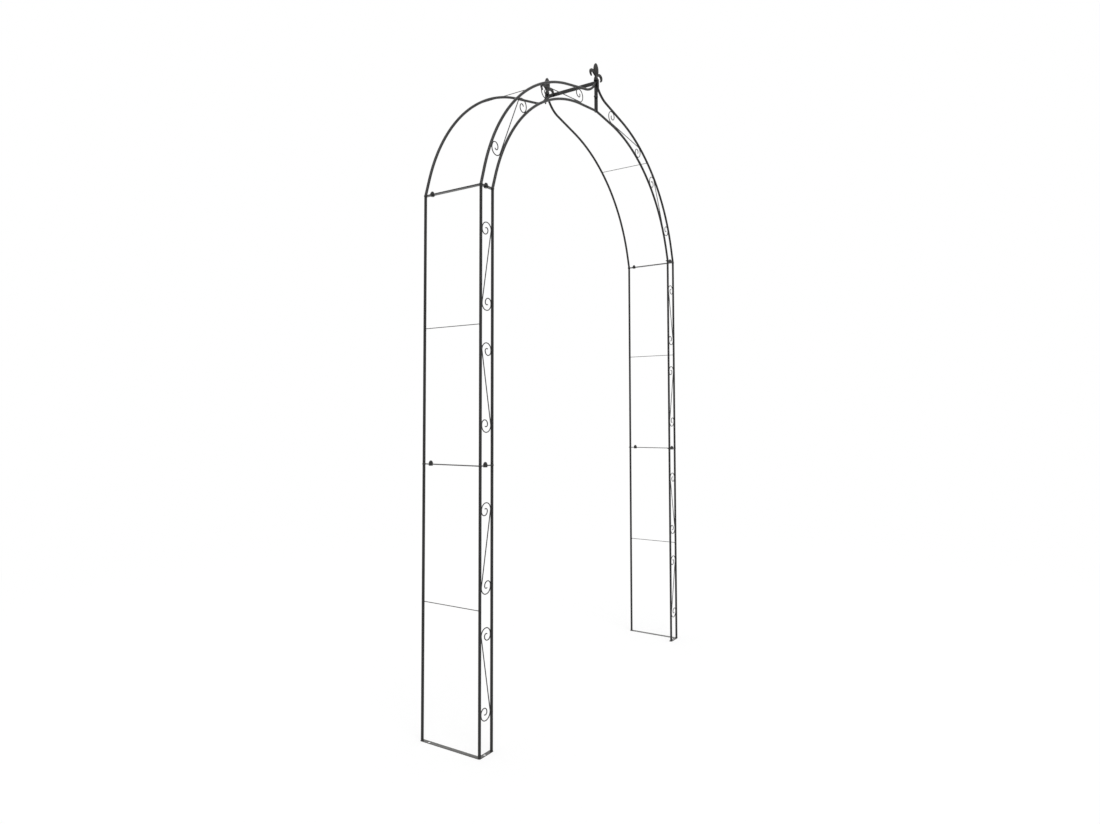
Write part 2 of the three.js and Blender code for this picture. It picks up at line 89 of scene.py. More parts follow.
# Steps along a curve, and on the finials from one given place to the next
CORNER_STEPS = 10
LOOP_STEPS = 44
EYE_STEPS = 30
TAIL_STEPS = 16
SHOULDER_STEPS = 64
KNEE_STEPS = 28
BAND_STEPS = 500
LEAF_STEPS = 10
PETAL_STEPS = 12
TURNED_STEPS = 6


class Named(Enum):
    """Options whose names the pieces carry."""

    @property
    def word(self) -> str:
        """The option's name as the pieces carry it."""
        return self.name.lower()


class Side(Named):
    """A side of the span, with the sign of its X."""

    LEFT = -1
    RIGHT = 1


class Level(Named):
    """A storey of a leg."""

    LOWER = 0
    UPPER = 1


# Frame


def low_corner(node: str) -> Array:
    """The lowest corner of a node's box."""
    return np.array(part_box(node)[0])


def high_corner(node: str) -> Array:
    """The highest corner of a node's box."""
    return np.array(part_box(node)[1])


def middle(node: str) -> Array:
    """The middle of a node's box."""
    return (low_corner(node) + high_corner(node)) / 2


def extent(node: str) -> Array:
    """The size of a node's box."""
    return high_corner(node) - low_corner(node)


@dataclass(frozen=True)
class Stock:
    """The sizes that every panel shares, read from the boxes of the right leg and of the ridge.

    Attributes:
        half_span: from the middle to the centre of a corner post, across.
        half_depth: the same, deep.
        front_width: between the centres of the two posts of a leg's scrolled face.
        tube_radius: of posts and arch tubes.
        rung_radius: of the rungs between the front and back tubes.
        wire_radius: of the scrolls: that of their box, over the cosine of half a side's angle.
        strip_thickness: of the flat strips.
        half_strip: half a strip's width.
        strip_reach: from the centre of the last tube to a strip's end.
        spring: height of the underside of the arch.
        ridge: height of the middle of the ridge strips.
        crown_drop: from the ridge down to the centre of the inner tubes.
    """

    half_span: float = middle("right_lower_corner_post")[0]
    half_depth: float = -middle("right_lower_corner_post")[1]
    front_width: float = half_span - middle("right_lower_inner_post")[0]
    tube_radius: float = extent("right_lower_corner_post")[0] / 2
    rung_radius: float = extent("right_lower_rung")[0] / 2
    wire_radius: float = extent("right_lower_low_scroll")[1] / 2 / np.cos(FULL_TURN / 2 / FRAME_WIRE_SIDES)
    strip_thickness: float = extent("right_lower_bottom_strip")[2]
    half_strip: float = -half_depth - low_corner("right_arch_apex_strip")[1]
    strip_reach: float = high_corner("right_lower_bottom_strip")[1] - half_depth
    spring: float = low_corner("right_arch_spring_strip")[2]
    ridge: float = middle("apex_ridge_bolt")[2]
    crown_drop: float = ridge - low_corner("right_arch_apex_strip")[2] - strip_reach


STOCK = Stock()


# Surfaces


@dataclass
class Skin:
    """A closed surface.

    Attributes:
        points: a row of x, y, z for each point.
        patches: arrays of point numbers, a row for each face, each with whether it is shaded smooth.
    """

    points: Array
    patches: list[tuple[Array, bool]]

    def placed(self, origin: Array, x_axis: Array, y_axis: Array, z_axis: Array) -> "Skin":
        """The skin carried to new axes, with its faces still pointing out.

        Args:
            origin: where the skin's origin goes.
            x_axis: where its x axis points.
            y_axis: where its y axis points.
            z_axis: where its z axis points.

        Returns:
            Each point as the origin plus its x, y and z times their axes.
        """
        axes = np.array([x_axis, y_axis, z_axis], float)
        step = -1 if np.linalg.det(axes) < 0 else 1
        patches = [(faces[:, ::step], smooth) for faces, smooth in self.patches]
        return Skin(origin + self.points @ axes, patches)

    def on_side(self, side: Side) -> "Skin":
        """The skin of the right side, or its mirror image on the left."""
        return self.placed(np.zeros(3), side.value * ACROSS, DEEP, UP)

    def moved(self, offset: Array) -> "Skin":
        """The skin moved by an offset."""
        return Skin(self.points + offset, self.patches)


def joined(skins: Sequence[Skin]) -> Skin:
    """All the skins as one.

    Args:
        skins: closed surfaces.

    Returns:
        One skin, in which each skin's point numbers start after those of the skins before it.
    """
    starts = np.cumsum([0] + [len(skin.points) for skin in skins])
    patches = [
        (faces + start, smooth) for skin, start in zip(skins, starts) for faces, smooth in skin.patches
    ]
    return Skin(np.vstack([skin.points for skin in skins]), patches)


def numbered(rings: Array, start: int = 0) -> Array:
    """The numbers of the rings' points, from the start on, a row for each ring."""
    return start + np.arange(rings[..., 0].size).reshape(rings.shape[:2])


def walls_between(numbers: Array, ring_closed: bool = False) -> Array:
    """Quads between neighbouring rings, and round each ring.

    Args:
        numbers: point numbers, a row for each ring.
        ring_closed: whether the last ring meets the first again.

    Returns:
        A row of four point numbers for each quad.
    """
    here, after = (numbers, np.roll(numbers, -1, 0)) if ring_closed else (numbers[:-1], numbers[1:])
    return np.stack([here, np.roll(here, -1, 1), np.roll(after, -1, 1), after], -1).reshape(-1, 4)


def loft(rings: Array) -> Skin:
    """A skin through rings of points, closed at both ends by a fan to the end ring's middle.

    Args:
        rings: points in rings by points in a ring by 3, anticlockwise seen from the last ring's side.

    Returns:
        The closed skin.
    """
    numbers = numbered(rings)
    first, last = numbers[0], numbers[-1]
    start_middle = np.full(len(first), numbers.size)
    start_fan = np.stack([start_middle, np.roll(first, -1), first], -1)
    end_fan = np.stack([start_middle + 1, last, np.roll(last, -1)], -1)
    points = np.vstack([rings.reshape(-1, 3), rings[0].mean(0), rings[-1].mean(0)])
    return Skin(points, [(faces, True) for faces in (walls_between(numbers), start_fan, end_fan)])


def ring_loft(rings: Array) -> Skin:
    """A skin through rings of points, whose last ring meets the first, as in a torus."""
    return Skin(rings.reshape(-1, 3), [(walls_between(numbered(rings), ring_closed=True), True)])


def unit(rows: Array) -> Array:
    """Each row scaled to length 1."""
    return rows / np.linalg.norm(rows, axis=-1, keepdims=True)


def angles(count: int) -> Array:
    """Angles of evenly spaced places round a full turn."""
    return np.arange(count) / count * FULL_TURN


def ellipse(first: Array, second: Array, sides: int) -> Array:
    """Points about zero: the first half axis times the cosine, plus the second times the sine."""
    round_it = angles(sides)[:, None]
    return np.cos(round_it) * first + np.sin(round_it) * second


def rod(path: Array, radius: float, binormal: Array, sides: int, rounding: float = 0.0) -> Skin:
    """A round rod along a flat path.

    Each ring is a circle in the plane of the path's normal and binormal. Near an end the radius
    follows a quarter circle.

    Args:
        path: points of the centre line, which lies in a plane.
        radius: of the rod.
        binormal: unit vector square to the path's plane.
        sides: points in a ring.
        rounding: radius of the quarter circle at each end, or zero for a square end of one ring.

    Returns:
        The closed skin.
    """
    turn = np.linspace(0, QUARTER_TURN, END_RINGS if rounding else 1)
    inset = rounding * (1 - np.cos(turn))[:, None]
    shrink = rounding * (1 - np.sin(turn))
    start, end = unit(path[1] - path[0]), unit(path[-1] - path[-2])
    centres = np.vstack([path[0] + inset * start, path[1:-1], (path[-1] - inset * end)[::-1]])
    radii = radius - np.concatenate([shrink, np.zeros(len(path) - 2), shrink[::-1]])
    into = unit(np.diff(path, axis=0))
    bends = unit(into[:-1] + into[1:])
    tangents = np.vstack([np.tile(start, (len(turn), 1)), bends, np.tile(end, (len(turn), 1))])
    normals = np.cross(binormal, tangents)
    return loft(centres[:, None] + radii[:, None, None] * ellipse(normals[:, None], binormal, sides))


def turned(profile: Array, sides: int) -> Skin:
    """A profile of rows of radius and height, from the bottom up, turned about the z axis."""
    radii, heights = profile.T[..., None, None]
    return loft(radii * ellipse(ACROSS, DEEP, sides) + heights * UP)


# Lines of complex numbers


def arc(start: complex, heading: float, radius: float, turn: float, steps: int) -> Array:
    """Points of an arc after its start.

    Its centre lies a radius to the side that it turns to, and each point is the centre plus the
    radius in the direction opposite to that side, turned on.

    Args:
        start: the point before the arc's first.
        heading: direction at the start, as an angle.
        radius: of the arc.
        turn: signed angle that it turns by.
        steps: number of points.

    Returns:
        The points.
    """
    to_centre = np.sign(turn) * 1j * np.exp(1j * heading) * radius
    turns = np.linspace(0, turn, steps + 1)[1:]
    return start + to_centre - to_centre * np.exp(1j * turns)


def bend(places: Sequence[complex], radius: float, steps: int, share: float = 1.0) -> Array:
    """The arc that rounds a corner between two straights, with its start.

    It starts the radius times the tangent of half its turn before the corner.

    Args:
        places: the start of the first straight, the corner, and the end of the second straight.
        radius: of the arc, or less where it would take more than its share.
        steps: number of points after the start.
        share: most of the shorter straight that the arc may take.

    Returns:
        The points.
    """
    before, corner, after = places
    into, out = corner - before, after - corner
    turn = np.angle(out / into)
    half_tangent = np.tan(abs(turn) / 2)
    reach = min(radius * half_tangent, share * min(abs(into), abs(out)))
    start = corner - reach * into / abs(into)
    return np.concatenate([[start], arc(start, np.angle(into), reach / half_tangent, turn, steps)])


def spaced_along(line: Array, count: int) -> Array:
    """Evenly spaced points on a line, by its length.

    Args:
        line: complex numbers.
        count: steps between the points.

    Returns:
        The points, one more than the steps.
    """
    lengths = np.concatenate([[0], np.cumsum(np.abs(np.diff(line)))])
    along = np.linspace(0, lengths[-1], count + 1)
    return np.interp(along, lengths, line.real) + 1j * np.interp(along, lengths, line.imag)


def in_face(line: Array, depth: float, base: float) -> Array:
    """A line as rows of x, y, z at one depth, with its heights counted from a base."""
    return np.stack([line.real, np.full(len(line), depth), base + line.imag], -1)


# Flat strip


@dataclass(frozen=True)
class Strip:
    """An L-shaped piece of flat strip, with the centre of the tube at its corner at zero.

    Attributes:
        long_arm: from the corner's tube to the last one, along y.
        short_arm: the same along x.
        holes: centres of the bolt holes.
        inset: from the lines of the tubes in to the middle of the strip.
        inner_radius: of the corner between the arms.
        hole_radius: of a bolt hole.
        edge: radius of the rolled edges.
        corner_share: most of an edge that a corner's arc may take.
    """

    long_arm: float
    short_arm: float
    holes: tuple[complex, ...]
    inset: float = 0.0
    inner_radius: float = 2.0 * MM
    hole_radius: float = 4.5 * MM
    edge: float = 0.4 * MM
    corner_share: float = 0.48

    def outline(self) -> Array:
        """The outline with each corner as an arc, of which the outer ones run round the tubes.

        Returns:
            Complex numbers, anticlockwise.
        """
        reach = STOCK.strip_reach
        outer, inner = self.inset - STOCK.half_strip, self.inset + STOCK.half_strip
        long_end, short_end = self.long_arm + reach, self.short_arm + reach
        across = (outer, outer, short_end, short_end, inner, inner)
        along = (long_end, outer, outer, inner, inner, long_end)
        radii = (reach, reach, reach, reach, self.inner_radius, reach)
        corners = [complex(*place) for place in zip(across, along)]
        places = zip(corners[-1:] + corners[:-1], corners, corners[1:] + corners[:1])
        arcs = [bend(three, radius, CORNER_STEPS, self.corner_share) for three, radius in zip(places, radii)]
        return np.concatenate(arcs)

    def rim(self, loop: Array) -> Array:
        """Rings from the bottom face round the rolled edge to the top face.

        Each ring is the loop moved in, square to itself, by the edge radius times one minus the
        cosine of the edge's angle.

        Args:
            loop: a closed line with the strip on its left.

        Returns:
            Rings by points by 3.
        """
        turn = np.linspace(0, QUARTER_TURN, EDGE_RINGS)
        inset = self.edge * (1 - np.cos(turn))
        lower = self.edge * (1 - np.sin(turn))
        insets = np.concatenate([inset[::-1], inset])
        heights = np.concatenate([lower[::-1], STOCK.strip_thickness - lower])
        along = np.roll(loop, -1) - np.roll(loop, 1)
        lines = loop + insets[:, None] * 1j * along / np.abs(along)
        return np.stack([lines.real, lines.imag, np.repeat(heights[:, None], len(loop), 1)], -1)

    def skin(self) -> Skin:
        """The strip lying on the plane z = 0: its rims, and flat faces between them.

        Returns:
            The closed skin.
        """
        circle = self.hole_radius * np.exp(-1j * angles(HOLE_SIDES))
        rims = [self.rim(loop) for loop in (self.outline(), *(hole + circle for hole in self.holes))]
        starts = np.cumsum([0] + [rim[..., 0].size for rim in rims])
        numbers = [numbered(rim, start) for rim, start in zip(rims, starts)]
        bottoms, tops = (np.concatenate([rows[end] for rows in numbers]) for end in (0, -1))
        faces = np.array(tessellate_polygon([[tuple(point) for point in rim[-1]] for rim in rims]))
        corners = np.concatenate([rim[-1] for rim in rims])[faces]
        spans = np.cross(corners[:, 1] - corners[:, 0], corners[:, 2] - corners[:, 0])[:, 2:]
        faces = np.where(spans > 0, faces, faces[:, ::-1])[np.abs(spans[:, 0]) > 0]
        walls = [(walls_between(rows), True) for rows in numbers]
        flats = [(tops[faces], False), (bottoms[faces[:, ::-1]], False)]
        return Skin(np.vstack([rim.reshape(-1, 3) for rim in rims]), walls + flats)


# Welds


@dataclass(frozen=True)
class Bead:
    """A fillet weld round a tube or wire, or a tack between two.

    Attributes:
        reach: how far it spreads from the tube.
        rise: how far it climbs along the tube.
        ripples: ripples round the bead.
        depth: a ripple's height, as a share of the bead's size.
        finer: height of the finer ripples, as a share of the others'; how many more than twice as
            many they are; and the angle that they start at.
    """

    reach: float
    rise: float
    ripples: int = 9
    depth: float = 0.1
    finer: tuple[float, int, float] = (0.6, 5, 1.0)

    def ring(self, centre: Array, first: Array, second: Array) -> Skin:
        """A bead round a tube's foot.

        The foot is an ellipse. The bead's section is an ellipse centred on it, half sunk in the tube
        and the strip, whose size swells and shrinks with a sine of the angle round the tube.

        Args:
            centre: of the foot.
            first: the foot's first half axis, as a vector.
            second: its second half axis.

        Returns:
            The closed skin.
        """
        around = angles(FOOT_SIDES)
        foot = ellipse(first, second, FOOT_SIDES)[:, None]
        height, more, start = self.finer
        finer = height * np.sin((2 * self.ripples + more) * around + start)
        swell = 1 + self.depth * (np.sin(self.ripples * around) + finer)
        normal = unit(np.cross(first, second))
        section = ellipse(self.reach * unit(foot), -self.rise * normal, BEAD_SIDES)
        return ring_loft(centre + foot + swell[:, None, None] * section)

    def tack(self, centre: Array, along: Array, across: Array) -> Skin:
        """A tack of weld: a spindle along the tube, with ripples.

        Its height goes with the sine of an angle from a quarter turn down to a quarter turn up, and
        its radius with the square of the cosine.

        Args:
            centre: the place where the wire touches the tube.
            along: unit vector along the tube.
            across: unit vector from the tube to the wire.

        Returns:
            The closed skin.
        """
        climb = np.linspace(-1, 1, TACK_RINGS + 2)[1:-1, None, None] * QUARTER_TURN
        swell = 1 + self.depth * np.sin(self.ripples * climb)
        section = ellipse(across, np.cross(along, across), TACK_SIDES)
        axis = centre + self.rise * np.sin(climb) * along
        return loft(axis + self.reach * swell * np.cos(climb) ** 2 * section)


POST_BEAD = Bead(reach=0.65 * MM, rise=1.2 * MM)
RIDGE_BEAD = Bead(reach=0.3 * MM, rise=1.0 * MM)
RUNG_BEAD = Bead(reach=1.1 * MM, rise=1.2 * MM, ripples=5)
SCROLL_TACK = Bead(reach=1.6 * MM, rise=5.5 * MM, ripples=5, depth=0.08)


# Scrolls


@dataclass(frozen=True)
class Loop:
    """A loop of a scroll.

    Attributes:
        centre: of the loop.
        radius: of the wire's centre line.
        heading: direction of the tubes beside it.
    """

    centre: complex
    radius: float
    heading: float


@dataclass(frozen=True)
class Scroll:
    """A wire that runs straight between two loops and curls in at both.

    Attributes:
        low: the lower loop.
        high: the upper loop.
        sense: 1 where the wire leaves the lower loop on its right and turns left, -1 for the other hand.
        drop_share: straight drop into the eye, as a share of the loop's radius.
        eye_share: the eye's radius, as a share of the loop's.
        tail_share: the tail's radius, as a share of the loop's.
        tail_turn_share: the tail's turn, as a share of a full turn.
        tip_rounding: radius at the wire's tips.
    """

    low: Loop
    high: Loop
    sense: int
    drop_share: float = 0.17
    eye_share: float = 0.64
    tail_share: float = 0.35
    tail_turn_share: float = 0.35
    tip_rounding: float = 0.6 * MM

    def volute(self, start: complex, heading: float, last: float, radius: float) -> Array:
        """One end of the wire: a loop, a short drop, the half circle of the eye, and the tail.

        Args:
            start: where the straight run touches the loop.
            heading: direction there.
            last: direction in which the loop ends.
            radius: of the loop.

        Returns:
            The points after the start.
        """
        loop_turn = self.sense * (((last - heading) * self.sense) % FULL_TURN)
        tail_turn = self.sense * self.tail_turn_share * FULL_TURN
        loop = arc(start, heading, radius, loop_turn, LOOP_STEPS)
        drop = loop[-1] + self.drop_share * radius * np.exp(1j * last)
        eye = arc(drop, last, self.eye_share * radius, self.sense * np.pi, EYE_STEPS)
        tail = arc(eye[-1], last + np.pi, self.tail_share * radius, tail_turn, TAIL_STEPS)
        return np.concatenate([loop, [drop], eye, tail])

    def line(self) -> Array:
        """The wire's centre line, from the lower tail to the upper one.

        The straight run crosses the line between the loops' centres at an angle whose sine is the
        sum of their radii over the distance between the centres.

        Returns:
            Complex numbers.
        """
        chord = self.high.centre - self.low.centre
        lean = np.arcsin((self.low.radius + self.high.radius) / abs(chord))
        run = np.angle(chord) - self.sense * lean
        normal = self.sense * 1j * np.exp(1j * run)
        leave = self.low.centre + self.low.radius * normal
        meet = self.high.centre - self.high.radius * normal
        lower = self.volute(leave, run + np.pi, self.low.heading, self.low.radius)
        upper = self.volute(meet, run, self.high.heading + np.pi, self.high.radius)
        return np.concatenate([lower[::-1], [leave, meet], upper])

    def wire(self, base: float) -> Skin:
        """The wire in the scrolled face of the right side, with its heights counted from a base."""
        path = in_face(self.line(), -STOCK.half_depth, base)
        return rod(path, STOCK.wire_radius, DEEP, WIRE_SIDES, self.tip_rounding)

    def tacks(self, base: float) -> list[Skin]:
        """Tacks where the loops touch the tubes beside them.

        Args:
            base: height that the loops' heights count from.

        Returns:
            Two for each loop.
        """
        skins = []
        for loop, side in product((self.low, self.high), (-1, 1)):
            along = np.exp(1j * loop.heading)
            across = side * 1j * along
            touch = loop.centre + (loop.radius + STOCK.wire_radius) * across
            place = np.array([touch.real, -STOCK.half_depth, base + touch.imag])
            ways = (np.array([way.real, 0, way.imag]) for way in (along, across))
            skins.append(SCROLL_TACK.tack(place, *ways))
        return skins


# Paint


@dataclass(frozen=True)
class NodeSheet:
    """Adds shader nodes to a tree and wires them.

    Attributes:
        tree: of a material or of the world.
    """

    tree: bpy.types.NodeTree

    def feed(self, node: bpy.types.Node, inputs: dict) -> None:
        """Wires or sets a node's inputs.

        Args:
            node: of the tree.
            inputs: for each input's name or number, a socket to wire to it or a value to set.
        """
        for name, value in inputs.items():
            if isinstance(value, Socket):
                self.tree.links.new(value, node.inputs[name])
            else:
                node.inputs[name].default_value = value

    def add(self, kind: str, output: str, inputs: dict, **settings: str) -> Socket:
        """A new node.

        Args:
            kind: of node, without the word that they all start with.
            output: name of the output to give back.
            inputs: to wire or to set.
            settings: the node's own.

        Returns:
            The output.
        """
        node = self.tree.nodes.new(f"ShaderNode{kind}")
        for name, value in settings.items():
            setattr(node, name, value)
        self.feed(node, inputs)
        return node.outputs[output]

    def noise(self, place: Socket, cells: float, detail: float) -> Socket:
        """A noise of so many cells in a metre, refined by so many steps."""
        return self.add("TexNoise", "Fac", {"Vector": place, "Scale": cells, "Detail": detail})

    def times(self, first: Socket, second: Socket | float) -> Socket:
        """One value times another."""
        return self.add("Math", "Value", {0: first, 1: second}, operation="MULTIPLY")

    def blend(self, share: Socket, first: Socket | tuple, second: tuple) -> Socket:
        """A colour between two, by the share of the second."""
        return self.add("Mix", "Result", {"Factor": share, "A": first, "B": second}, data_type="RGBA")

    def spread(self, value: Socket, source: tuple, target: tuple = (0.0, 1.0), **settings: str) -> Socket:
        """A value carried from one range to another, and held inside it."""
        ends = zip(("From Min", "From Max", "To Min", "To Max"), source + target)
        return self.add("MapRange", "Result", {"Value": value, **dict(ends)}, **settings)


@dataclass(frozen=True)
class SatinPaint:
    """Black powder coat: satin, faintly cloudy, with a fine pebble, and on top a pale film that is part
    dusting, part painted sheen.

    Attributes:
        slot: name of the paint's material.
        deep: colour in the darker clouds.
        pale: colour in the paler clouds.
        dust: colour on faces that look up, part dusting and part painted sheen of the light from above.
        dust_amount: share of that colour on a level face.
        gloss: lowest and highest roughness.
        pebble: pebbles in a metre.
        pebble_height: a pebble's height.
        specular: level of the sheen from the front.
        clouds: cells of the clouds in a metre, and their detail.
        patches: cells of the gloss in a metre, and their detail.
        patch_range: noise between which the gloss goes from lowest to highest.
        specks: cells of the dusting and painted sheen in a metre, and their detail.
        speck_range: noise between which the dusting and painted sheen go from thin to full.
        speck_least: share of the dusting and painted sheen where it is thin.
        tilt_range: upward parts of the normal between which the dusting and painted sheen go from none to
            full.
        pebble_detail: detail of the pebbles.
    """

    slot: str
    deep: tuple[float, float, float]
    pale: tuple[float, float, float]
    dust: tuple[float, float, float]
    dust_amount: float
    gloss: tuple[float, float]
    pebble: float
    pebble_height: float
    specular: float
    clouds: tuple[float, float] = (14.0, 4.0)
    patches: tuple[float, float] = (55.0, 3.0)
    patch_range: tuple[float, float] = (0.3, 0.7)
    specks: tuple[float, float] = (190.0, 4.0)
    speck_range: tuple[float, float] = (0.35, 0.65)
    speck_least: float = 0.6
    tilt_range: tuple[float, float] = (0.55, 1.0)
    pebble_detail: float = 2.0

    def material(self) -> bpy.types.Material:
        """The paint as a node material on Object coordinates.

        Returns:
            The new material.
        """
        material = bpy.data.materials.new(self.slot)
        material.use_nodes = True
        sheet = NodeSheet(material.node_tree)
        place = sheet.add("TexCoord", "Object", {})
        coat = sheet.blend(sheet.noise(place, *self.clouds), (*self.deep, 1), (*self.pale, 1))
        pebbles = sheet.noise(place, self.pebble, self.pebble_detail)
        bump = {"Strength": 1.0, "Distance": self.pebble_height, "Height": pebbles}
        sheet.feed(material.node_tree.nodes["Principled BSDF"], {
            "Metallic": 0.0,
            "Specular IOR Level": self.specular,
            # Painted sheen: faces that look up get a paler colour, partly a dusting and partly the sheen of
            # light from above.
            "Base Color": sheet.blend(self.dust_share(sheet, place), coat, (*self.dust, 1)),
            "Roughness": sheet.spread(sheet.noise(place, *self.patches), self.patch_range, self.gloss),
            "Normal": sheet.add("Bump", "Normal", bump),
        })
        return material

    def dust_share(self, sheet: NodeSheet, place: Socket) -> Socket:
        """The share of the dusting and painted sheen: the amount, times how far the face looks up, times its
        specks.

        Args:
            sheet: to add the nodes to.
            place: on the piece.

        Returns:
            The share.
        """
        upward = sheet.add("SeparateXYZ", "Z", {"Vector": sheet.add("NewGeometry", "Normal", {})})
        level = sheet.spread(upward, self.tilt_range, (0.0, self.dust_amount))
        specks = sheet.spread(sheet.noise(place, *self.specks), self.speck_range, (self.speck_least, 1.0))
        return sheet.times(level, specks)


# The pale top colour of each paint is part dusting, part painted sheen of light from above.
FRAME_PAINT = SatinPaint(
    slot="frame_paint",
    deep=(0.0078, 0.0078, 0.0076),
    pale=(0.0155, 0.015, 0.0143),
    dust=(0.30, 0.29, 0.27),
    dust_amount=0.28,
    gloss=(0.26, 0.38),
    pebble=620.0,
    pebble_height=0.06 * MM,
    specular=0.36,
)
BOLT_PAINT = SatinPaint(
    slot="bolt_paint",
    deep=(0.010, 0.010, 0.010),
    pale=(0.018, 0.018, 0.018),
    dust=(0.14, 0.135, 0.125),
    dust_amount=0.2,
    gloss=(0.28, 0.42),
    pebble=900.0,
    pebble_height=0.02 * MM,
    specular=0.4,
)
FINIAL_PAINT = SatinPaint(
    slot="finial_paint",
    deep=(0.010, 0.010, 0.009),
    pale=(0.024, 0.023, 0.020),
    dust=(0.15, 0.145, 0.13),
    dust_amount=0.22,
    gloss=(0.38, 0.58),
    pebble=480.0,
    pebble_height=0.12 * MM,
    specular=0.35,
)


def put(name: str, data: bpy.types.ID) -> bpy.types.Object:
    """A new object in the scene, at the origin.

    Args:
        name: of the object.
        data: its mesh, lamp or camera.

    Returns:
        The object.
    """
    made = bpy.data.objects.new(name, data)
    bpy.context.scene.collection.objects.link(made)
    return made


@dataclass
class Workshop:
    """Turns skins into named pieces with their paint.

    Attributes:
        materials: each slot's material, made once.
        sharp_from: angle between faces from which an edge shows.
    """

    materials: dict[str, bpy.types.Material] = field(default_factory=dict)
    sharp_from: float = FULL_TURN / 9

    def paint(self, paint: SatinPaint) -> bpy.types.Material:
        """The material of a paint.

        Args:
            paint: the finish.

        Returns:
            Its slot's material.
        """
        if paint.slot not in self.materials:
            self.materials[paint.slot] = paint.material()
        return self.materials[paint.slot]

    def piece(self, name: str, skin: Skin, paint: SatinPaint, *replaced: str) -> bpy.types.Object:
        """A mesh object that rides on the frame, named as painted.

        Args:
            name: what is painted, a CAD node's name or one of its own.
            skin: its surface.
            paint: its finish.
            replaced: CAD nodes that it stands for.

        Returns:
            The object, at the origin.
        """
        painted = f"painted_{name}"
        mesh = bpy.data.meshes.new(painted)
        rows = [row for faces, _ in skin.patches for row in faces.tolist()]
        mesh.from_pydata(skin.points.tolist(), [], rows)
        shading = np.concatenate([np.full(len(faces), smooth) for faces, smooth in skin.patches])
        mesh.polygons.foreach_set("use_smooth", shading)
        mesh.set_sharp_from_angle(angle=self.sharp_from)
        mesh.materials.append(self.paint(paint))
        piece = put(painted, mesh)
        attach(piece, "root")
        if replaced:
            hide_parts(*replaced)
        LOG.info("%s: %d faces", painted, len(rows))
        return piece


WORKSHOP = Workshop()


# Parts that legs and arch halves share


def corner_strip(node: str, side: Side) -> None:
    """A level L-shaped strip, with a hole for the bolt of each arm.

    Args:
        node: the strip's name.
        side: of the span.
    """
    bolts = [middle(f"{side.word}_knee_{arm}_bolt") for arm in ("side", "front")]
    holes = tuple(complex(STOCK.half_span - abs(bolt[0]), STOCK.half_depth + bolt[1]) for bolt in bolts)
    strip = Strip(2 * STOCK.half_depth, STOCK.front_width, holes, STOCK.half_strip - STOCK.strip_reach)
    corner = np.array([side.value * STOCK.half_span, -STOCK.half_depth, low_corner(node)[2]])
    WORKSHOP.piece(node, strip.skin().placed(corner, -side.value * ACROSS, DEEP, UP), FRAME_PAINT, node)


def rung(node: str) -> list[Skin]:
    """A rung between a front and a back tube.

    Args:
        node: the rung's name.

    Returns:
        A bead at each end.
    """
    path = middle(node) + np.outer([-1, 1], (STOCK.half_depth - STOCK.tube_radius) * DEEP)
    WORKSHOP.piece(node, rod(path, STOCK.rung_radius, UP, RUNG_SIDES), FRAME_PAINT, node)
    axes = (STOCK.rung_radius * UP, STOCK.rung_radius * ACROSS)
    return [RUNG_BEAD.ring(path[0], *axes), RUNG_BEAD.ring(path[1], *axes[::-1])]


def scroll_wire(node: str, scroll: Scroll, side: Side, base: float) -> list[Skin]:
    """A scroll between two front tubes.

    Args:
        node: the scroll's name.
        scroll: its shape, on the right side.
        side: of the span.
        base: height that its heights count from.

    Returns:
        Its tacks.
    """
    WORKSHOP.piece(node, scroll.wire(base).on_side(side), FRAME_PAINT, node)
    return [tack.on_side(side) for tack in scroll.tacks(base)]


# Leg panels


@dataclass
class LegPanel:
    """A storey of a leg: two strips, three posts, a rung and two scrolls.

    Attributes:
        side: of the span.
        level: of the leg.
    """

    side: Side
    level: Level

    @property
    def name(self) -> str:
        """How the panel's pieces start their names."""
        return f"{self.side.word}_{self.level.word}"

    def build(self) -> None:
        """Makes the panel's pieces."""
        beads = []
        for end in ("bottom", "top"):
            corner_strip(f"{self.name}_{end}_strip", self.side)
        for post in ("back", "corner", "inner"):
            beads += self.post(f"{self.name}_{post}_post")
        beads += rung(f"{self.name}_rung")
        for scroll, sense in (("low", 1), ("high", -1)):
            beads += self.scroll(f"{self.name}_{scroll}_scroll", sense)
        WORKSHOP.piece(f"{self.name}_welds", joined(beads), FRAME_PAINT)

    def post(self, node: str) -> list[Skin]:
        """A post between the strips.

        Args:
            node: the post's name.

        Returns:
            A bead at each end.
        """
        radius = STOCK.tube_radius
        path = middle(node) + np.outer([-0.5, 0.5], extent(node) * UP)
        WORKSHOP.piece(node, rod(path, radius, DEEP, TUBE_SIDES), FRAME_PAINT, node)
        return [POST_BEAD.ring(end, radius * ACROSS, way * radius * DEEP) for end, way in zip(path, (1, -1))]

    def scroll(self, node: str, sense: int) -> list[Skin]:
        """A scroll between the front posts.

        Args:
            node: the scroll's name.
            sense: hand of its curls.

        Returns:
            Its tacks.
        """
        low, high = low_corner(node), high_corner(node)
        centre_x = STOCK.half_span - STOCK.front_width / 2
        inset = (high[0] - low[0]) / 2
        ends = (complex(centre_x, height) for height in (low[2] + inset, high[2] - inset))
        loops = [Loop(end, inset - STOCK.wire_radius, QUARTER_TURN) for end in ends]
        return scroll_wire(node, Scroll(*loops, sense), self.side, 0.0)


# Arch halves


def tube_line(start: float, rise: float, *bends: tuple[complex, float, int]) -> Array:
    """The centre line of an arch tube, from the spring strip to the ridge strip.

    Args:
        start: distance from the middle of the span at the spring joint.
        rise: height at the middle of the span.
        bends: for each bend, where its straights would meet, its radius, and the steps round it.

    Returns:
        Complex numbers.
    """
    thickness = STOCK.strip_thickness
    places = [complex(start, thickness), *(at for at, _, _ in bends), complex(thickness, rise)]
    arcs = [bend(places[i : i + 3], radius, steps) for i, (_, radius, steps) in enumerate(bends)]
    return np.concatenate([places[:1], *arcs, places[-1:]])


